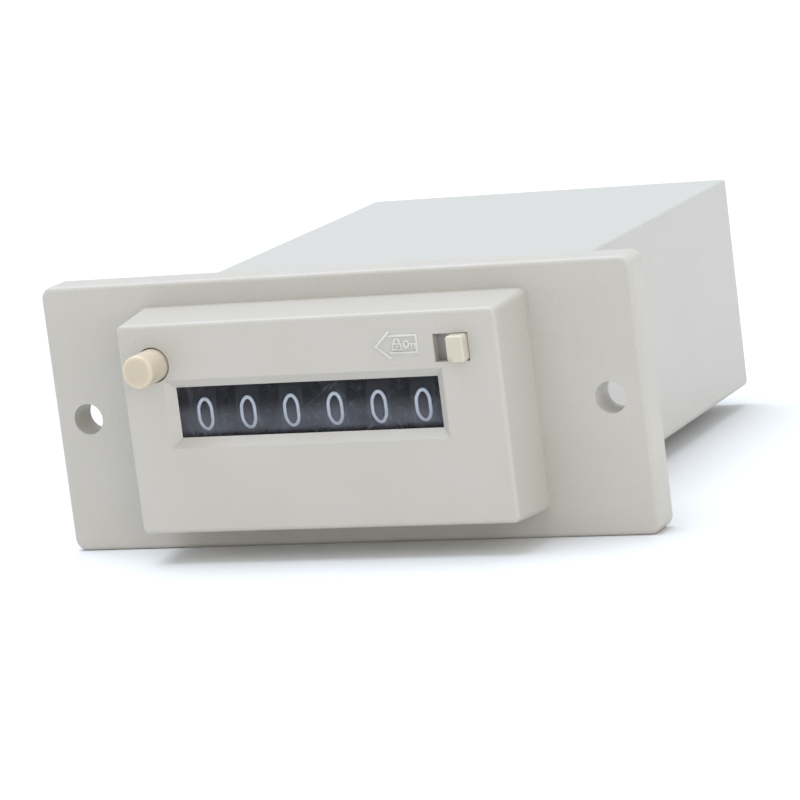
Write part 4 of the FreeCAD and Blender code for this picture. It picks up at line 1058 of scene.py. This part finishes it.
@dataclass
class NumberWheels:
    """The six wheels with their printed figures, their shaft and the star wheel.

    Each figure is drawn in a box one unit wide and high, and scaled to the
    middle line of its strokes. Sizes are in mm.
    """

    count: int = 6
    figures: int = 10
    hub_to_tyre: float = 3.0
    height: float = 5.3
    width: float = 2.78
    stroke: float = 0.54
    ink_rise: float = 0.1

    def figure(self, number: int) -> tuple[Stroke, ...]:
        """Draws one figure in its unit box.

        Args:
            number: The figure, from 0 to 9.

        Returns:
            Its strokes.
        """
        nine = Stroke(
            ((-0.38, -0.40), (-0.06, -0.5), (0.3, -0.36), (0.5, 0.1), (0.38, 0.4), (0.0, 0.5),
             (-0.38, 0.4), (-0.5, 0.18), (-0.38, -0.04), (-0.04, -0.12), (0.34, 0.0), (0.47, 0.2))
        )
        drawn = {
            0: (ring(0.0, 0.0, 0.5, 0.5, 0.73),),
            1: (sharp((-0.26, 0.28), (0.06, 0.5), (0.06, -0.5)),),
            2: (Stroke(((-0.48, 0.24), (-0.36, 0.42), (0.0, 0.5), (0.36, 0.42), (0.48, 0.22),
                        (0.36, 0.0), (-0.5, -0.5), (0.5, -0.5)), (6, 7)),),
            3: (Stroke(((-0.46, 0.3), (-0.3, 0.45), (0.02, 0.5), (0.36, 0.41), (0.44, 0.24),
                        (0.3, 0.07), (-0.06, 0.03))),
                Stroke(((-0.06, 0.03), (0.34, -0.04), (0.5, -0.24), (0.36, -0.43), (0.0, -0.5),
                        (-0.34, -0.44), (-0.5, -0.28)))),
            4: (sharp((0.24, -0.5), (0.24, 0.5), (-0.5, -0.2), (0.5, -0.2)),),
            5: (Stroke(((0.42, 0.5), (-0.36, 0.5), (-0.42, 0.04), (-0.06, 0.14), (0.34, 0.06),
                        (0.5, -0.18), (0.34, -0.42), (0.0, -0.5), (-0.46, -0.36)), (0, 1, 2)),),
            6: (Stroke(tuple((-x, -y) for x, y in nine.points)),),
            7: (sharp((-0.5, 0.5), (0.5, 0.5), (-0.14, -0.5)),),
            8: (ring(0.0, 0.26, 0.4, 0.24, 0.74), ring(0.0, -0.24, 0.5, 0.26, 0.74)),
            9: (nine,),
        }
        return drawn[number]

    def sized(self, number: int) -> tuple[Stroke, ...]:
        """Scales one figure to the size that it is printed at.

        Args:
            number: The figure, from 0 to 9.

        Returns:
            Its strokes, in mm.
        """
        wide, high = self.width - self.stroke, self.height - self.stroke
        return tuple(
            Stroke(tuple((x * wide, y * high) for x, y in line.points), line.corners, line.closed)
            for line in self.figure(number)
        )

    def printed(self, wheel: int, middle: float) -> bmesh.types.BMesh:
        """Draws the ten figures and wraps them round one wheel's tyre.

        Args:
            wheel: The wheel, with 1 at the right.
            middle: The x of the tyre's middle plane, in metres.

        Returns:
            The mesh in place.
        """
        low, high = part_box(f"number_wheel_{wheel}")
        axis_y, axis_z = 0.5 * (low.y + high.y), 0.5 * (low.z + high.z)
        radius = 0.5 * (high.z - low.z)
        pen = Pen(self.stroke, self.ink_rise)
        step = 2 * math.pi / self.figures
        shape = bmesh.new()
        for number in range(self.figures):
            figure = pen.draw(self.sized(number))
            for vertex in figure.verts:
                across, up, out = vertex.co
                turn = number * step + up / radius
                reach = radius + out
                vertex.co = (
                    middle + across,
                    axis_y - reach * math.cos(turn),
                    axis_z + reach * math.sin(turn),
                )
            mesh = bpy.data.meshes.new("figure")
            figure.to_mesh(mesh)
            figure.free()
            shape.from_mesh(mesh)
            bpy.data.meshes.remove(mesh)
        bmesh.ops.recalc_face_normals(shape, faces=shape.faces)
        return shape

    def build(self, finishes: Finishes) -> None:
        """Dresses the wheels and prints their figures.

        Args:
            finishes: The materials.
        """
        wheels = [f"number_wheel_{number}" for number in range(1, self.count + 1)]
        finishes.dress(Finish.WHEEL, *wheels)
        finishes.dress(Finish.STEEL, "number_shaft")
        finishes.dress(Finish.WHITE, "star_wheel")
        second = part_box("number_wheel_2")[1].x
        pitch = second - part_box("number_wheel_3")[1].x
        for number in range(1, self.count + 1):
            middle = second - self.hub_to_tyre * MM + (2 - number) * pitch
            piece = new_piece(f"figures_{number}", self.printed(number, middle), finishes.ink)
            place_on(piece, Ride.WHEEL.value.format(number))


@dataclass
class ViewingWindow:
    """The clear pane behind the bezel's bevelled opening."""

    def build(self, finishes: Finishes) -> None:
        """Dresses the pane."""
        finishes.dress(Finish.PANE, "window_pane")


@dataclass
class ResetTrain:
    """The push button and what it moves to bring the wheels to zero.

    The return spring, which shortens when the button goes in, is wound here at
    its rest length. wire is its thickness in mm, and segments how many stretches a turn has.
    """

    pinions: int = 5
    wire: float = 0.4
    turns: int = 8
    segments: int = 48
    sides: int = 14

    def spring(self) -> bmesh.types.BMesh:
        """Winds the return spring into the space that it has at rest.

        Returns:
            The wire in place, closed at both ends.
        """
        low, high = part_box("reset_spring")
        radius = 0.5 * self.wire * MM
        centre = 0.5 * (low + high)
        centre.y = low.y + radius
        arm = Vector((0.5 * (high.x - low.x) - radius, 0.0, 0.0))
        steps = self.turns * self.segments
        advance = (high.y - low.y - 2 * radius) / steps
        shape = bmesh.new()
        bmesh.ops.create_circle(
            shape, segments=self.sides, radius=radius, matrix=Matrix.Translation(centre + arm)
        )
        bmesh.ops.spin(
            shape,
            geom=shape.verts[:] + shape.edges[:],
            cent=centre,
            axis=(0.0, 1.0, 0.0),
            dvec=(0.0, advance, 0.0),
            angle=2 * math.pi * self.turns,
            steps=steps,
        )
        ends = [edge for edge in shape.edges if edge.is_boundary]
        bmesh.ops.holes_fill(shape, edges=ends, sides=self.sides)
        bmesh.ops.recalc_face_normals(shape, faces=shape.faces)
        return shape

    def fit_spring(self, finishes: Finishes) -> None:
        """Seats the return spring between the frame's bracket and the button's tail.

        Args:
            finishes: The materials.
        """
        piece = new_piece("return_spring", self.spring(), finishes.by_slot[Finish.SPRING])
        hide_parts("reset_spring")
        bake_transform(piece)
        log.info("%s shortens with the button, %d faces", piece.name, len(piece.data.polygons))

    def build(self, finishes: Finishes) -> None:
        """Dresses the nodes.

        Args:
            finishes: The materials.
        """
        finishes.dress(Finish.CREAM, "reset_button")
        finishes.dress(Finish.STEEL, "button_stem", "rocker_shaft", "pinion_shaft")
        finishes.dress(Finish.ZINC, "reset_rocker", "reset_crank")
        gears = [f"transfer_pinion_{number}" for number in range(1, self.pinions + 1)]
        finishes.dress(Finish.WHITE, *gears)
        self.fit_spring(finishes)


@dataclass
class LockSwitch:
    """The slider that blocks the button."""

    def build(self, finishes: Finishes) -> None:
        """Dresses the slider."""
        # The slider's rear part carries the painted grey shade of the lock slot.
        finishes.dress(Finish.CREAM, "lock_slider", material=finishes.slider)


@dataclass
class Electromagnet:
    """The coil, its iron circuit and the armature that drives the star wheel.

    The winding is a spun ring whose outside shows every turn of wire. Sizes
    are in mm.
    """

    turns: int = 54
    arcs: int = 4
    segments: int = 72
    tube_radius: float = 5.35

    def winding(self) -> bmesh.types.BMesh:
        """Spins the coil's ridged outline round its axis.

        Returns:
            The closed ring in place.
        """
        low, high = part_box("coil_winding")
        centre = Vector((0.5 * (low.x + high.x), 0.0, 0.5 * (low.z + high.z)))
        outer, inner = 0.5 * (high.x - low.x), self.tube_radius * MM
        pitch = (high.y - low.y) / self.turns
        outline = [Vector((inner, low.y, 0.0))]
        for turn in range(self.turns):
            for part in range(self.arcs):
                angle = math.pi * (part + 0.5) / self.arcs
                along = low.y + pitch * (turn + 0.5 - 0.5 * math.cos(angle))
                bulge = 0.5 * pitch * (math.sin(angle) - 1.0)
                outline.append(Vector((outer + bulge, along, 0.0)))
        outline.append(Vector((inner, high.y, 0.0)))
        shape = bmesh.new()
        rim = [shape.verts.new(point + centre) for point in outline]
        edges = [shape.edges.new(pair) for pair in zip(rim, rim[1:] + rim[:1])]
        bmesh.ops.spin(
            shape,
            geom=rim + edges,
            cent=centre,
            axis=(0.0, 1.0, 0.0),
            angle=2 * math.pi,
            steps=self.segments,
            use_merge=True,
        )
        bmesh.ops.remove_doubles(shape, verts=shape.verts, dist=0.001 * MM)
        bmesh.ops.recalc_face_normals(shape, faces=shape.faces)
        return shape

    def build(self, finishes: Finishes) -> None:
        """Dresses the iron and winds the coil.

        Args:
            finishes: The materials.
        """
        finishes.dress(Finish.ZINC, "coil_yoke", "armature")
        finishes.dress(Finish.STEEL, "coil_core", "core_screw", "armature_pin")
        finishes.dress(Finish.BOBBIN, "coil_bobbin")
        finishes.dress(Finish.BRASS, "pallet")
        finishes.dress(Finish.SPRING, "armature_spring")
        piece = new_piece("winding_turns", self.winding(), finishes.by_slot[Finish.COPPER])
        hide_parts("coil_winding")
        place_on(piece, Ride.CASE.value)


@dataclass
class Chassis:
    """The plated frame that carries the works, with its rods, springs and screws."""

    def build(self, finishes: Finishes) -> None:
        """Dresses the nodes.

        Args:
            finishes: The materials.
        """
        finishes.dress(Finish.ZINC, "chassis")
        finishes.dress(Finish.STEEL, "spacer_rods", "chassis_screws")
        finishes.dress(Finish.SPRING, "detent_spring")


@dataclass
class Terminals:
    """The two screw terminals in the rear and the leads from the coil."""

    def build(self, finishes: Finishes) -> None:
        """Dresses the nodes.

        Args:
            finishes: The materials.
        """
        finishes.dress(Finish.BLACK, "terminal_block")
        finishes.dress(Finish.BRASS, "terminal_contacts", "clamp_washers")
        finishes.dress(Finish.STEEL, "terminal_screws")
        finishes.dress(Finish.INSULATION, "lead_wires")


@dataclass
class Studio:
    """The pale floor, the soft lights and the camera. Sizes are in metres.

    azimuth is how far the camera stands to the right of straight ahead, elevation
    how far it looks down and roll how far it leans, in degrees. overhead and side
    point from the counter to their lamps.
    """

    floor_size: float = 8.0
    floor_cells: int = 8
    lens: float = 188.66
    sensor: float = 36.0
    near: float = 0.01
    position: tuple[float, float, float] = (0.270469, -0.582148, 0.118816)
    azimuth: float = 24.324
    elevation: float = 10.55
    roll: float = -7.187
    sky: Colour = (0.93, 0.97, 1.0)
    sky_strength: float = 0.86
    overhead: tuple[float, float, float] = (-0.2, 0.03, 1.0)
    side: tuple[float, float, float] = (1.0, -0.75, 0.25)

    def floor(self, finishes: Finishes) -> None:
        """Lays the floor under the counter's lowest point.

        Args:
            finishes: The materials.
        """
        shape = bmesh.new()
        bmesh.ops.create_grid(
            shape,
            x_segments=self.floor_cells,
            y_segments=self.floor_cells,
            size=0.5 * self.floor_size,
            matrix=Matrix.Translation((0.0, 0.0, CAD_BOX[0].z)),
        )
        new_piece("studio_floor", shape, finishes.floor, smooth=False)

    def lamp(
        self,
        name: str,
        place: tuple[float, float, float],
        spread: float,
        power: float,
        colour: Colour,
    ) -> None:
        """Sets one broad soft lamp that lights the counter and the floor evenly.

        Args:
            name: The lamp's name.
            place: The way to the lamp from the counter.
            spread: The angle that it fills, in degrees. A wider one gives softer shadows.
            power: Its strength.
            colour: Its colour.
        """
        light = bpy.data.lights.new(name, "SUN")
        light.angle, light.energy, light.color = math.radians(spread), power, colour
        held = bpy.data.objects.new(name, light)
        held.rotation_euler = (-Vector(place)).to_track_quat("-Z", "Y").to_euler()
        bpy.context.scene.collection.objects.link(held)

    def camera(self) -> None:
        """Places the camera and turns it to the counter."""
        data = bpy.data.cameras.new("view")
        data.lens, data.sensor_width, data.clip_start = self.lens, self.sensor, self.near
        held = bpy.data.objects.new("view", data)
        turn = (
            Matrix.Rotation(math.radians(self.azimuth), 4, "Z")
            @ Matrix.Rotation(math.radians(90.0 - self.elevation), 4, "X")
            @ Matrix.Rotation(math.radians(self.roll), 4, "Z")
        )
        held.matrix_world = Matrix.Translation(self.position) @ turn
        bpy.context.scene.collection.objects.link(held)
        bpy.context.scene.camera = held

    def build(self, finishes: Finishes) -> None:
        """Sets up the floor, the lights and the camera.

        Args:
            finishes: The materials.
        """
        self.camera()
        self.floor(finishes)
        world = bpy.data.worlds.new("studio")
        world.use_nodes = True
        back = world.node_tree.nodes["Background"]
        back.inputs["Color"].default_value = (*self.sky, 1.0)
        back.inputs["Strength"].default_value = self.sky_strength
        bpy.context.scene.world = world
        bpy.context.scene.view_settings.view_transform = "Standard"
        self.lamp("overhead", self.overhead, 45.0, 2.0, (0.91, 1.0, 1.15))
        self.lamp("side", self.side, 60.0, 1.02, (1.0, 0.97, 0.93))


def main() -> None:
    """Builds every sub-assembly in order."""
    logging.basicConfig(level=logging.INFO, format="%(message)s")
    finishes = Finishes()
    parts = (
        Studio(), Casework(), BezelEmblem(), ViewingWindow(), NumberWheels(), ResetTrain(),
        LockSwitch(), Electromagnet(), Chassis(), Terminals(),
    )
    for part in parts:
        log.info("building %s", type(part).__name__)
        part.build(finishes)


if __name__ == "__main__":
    main()
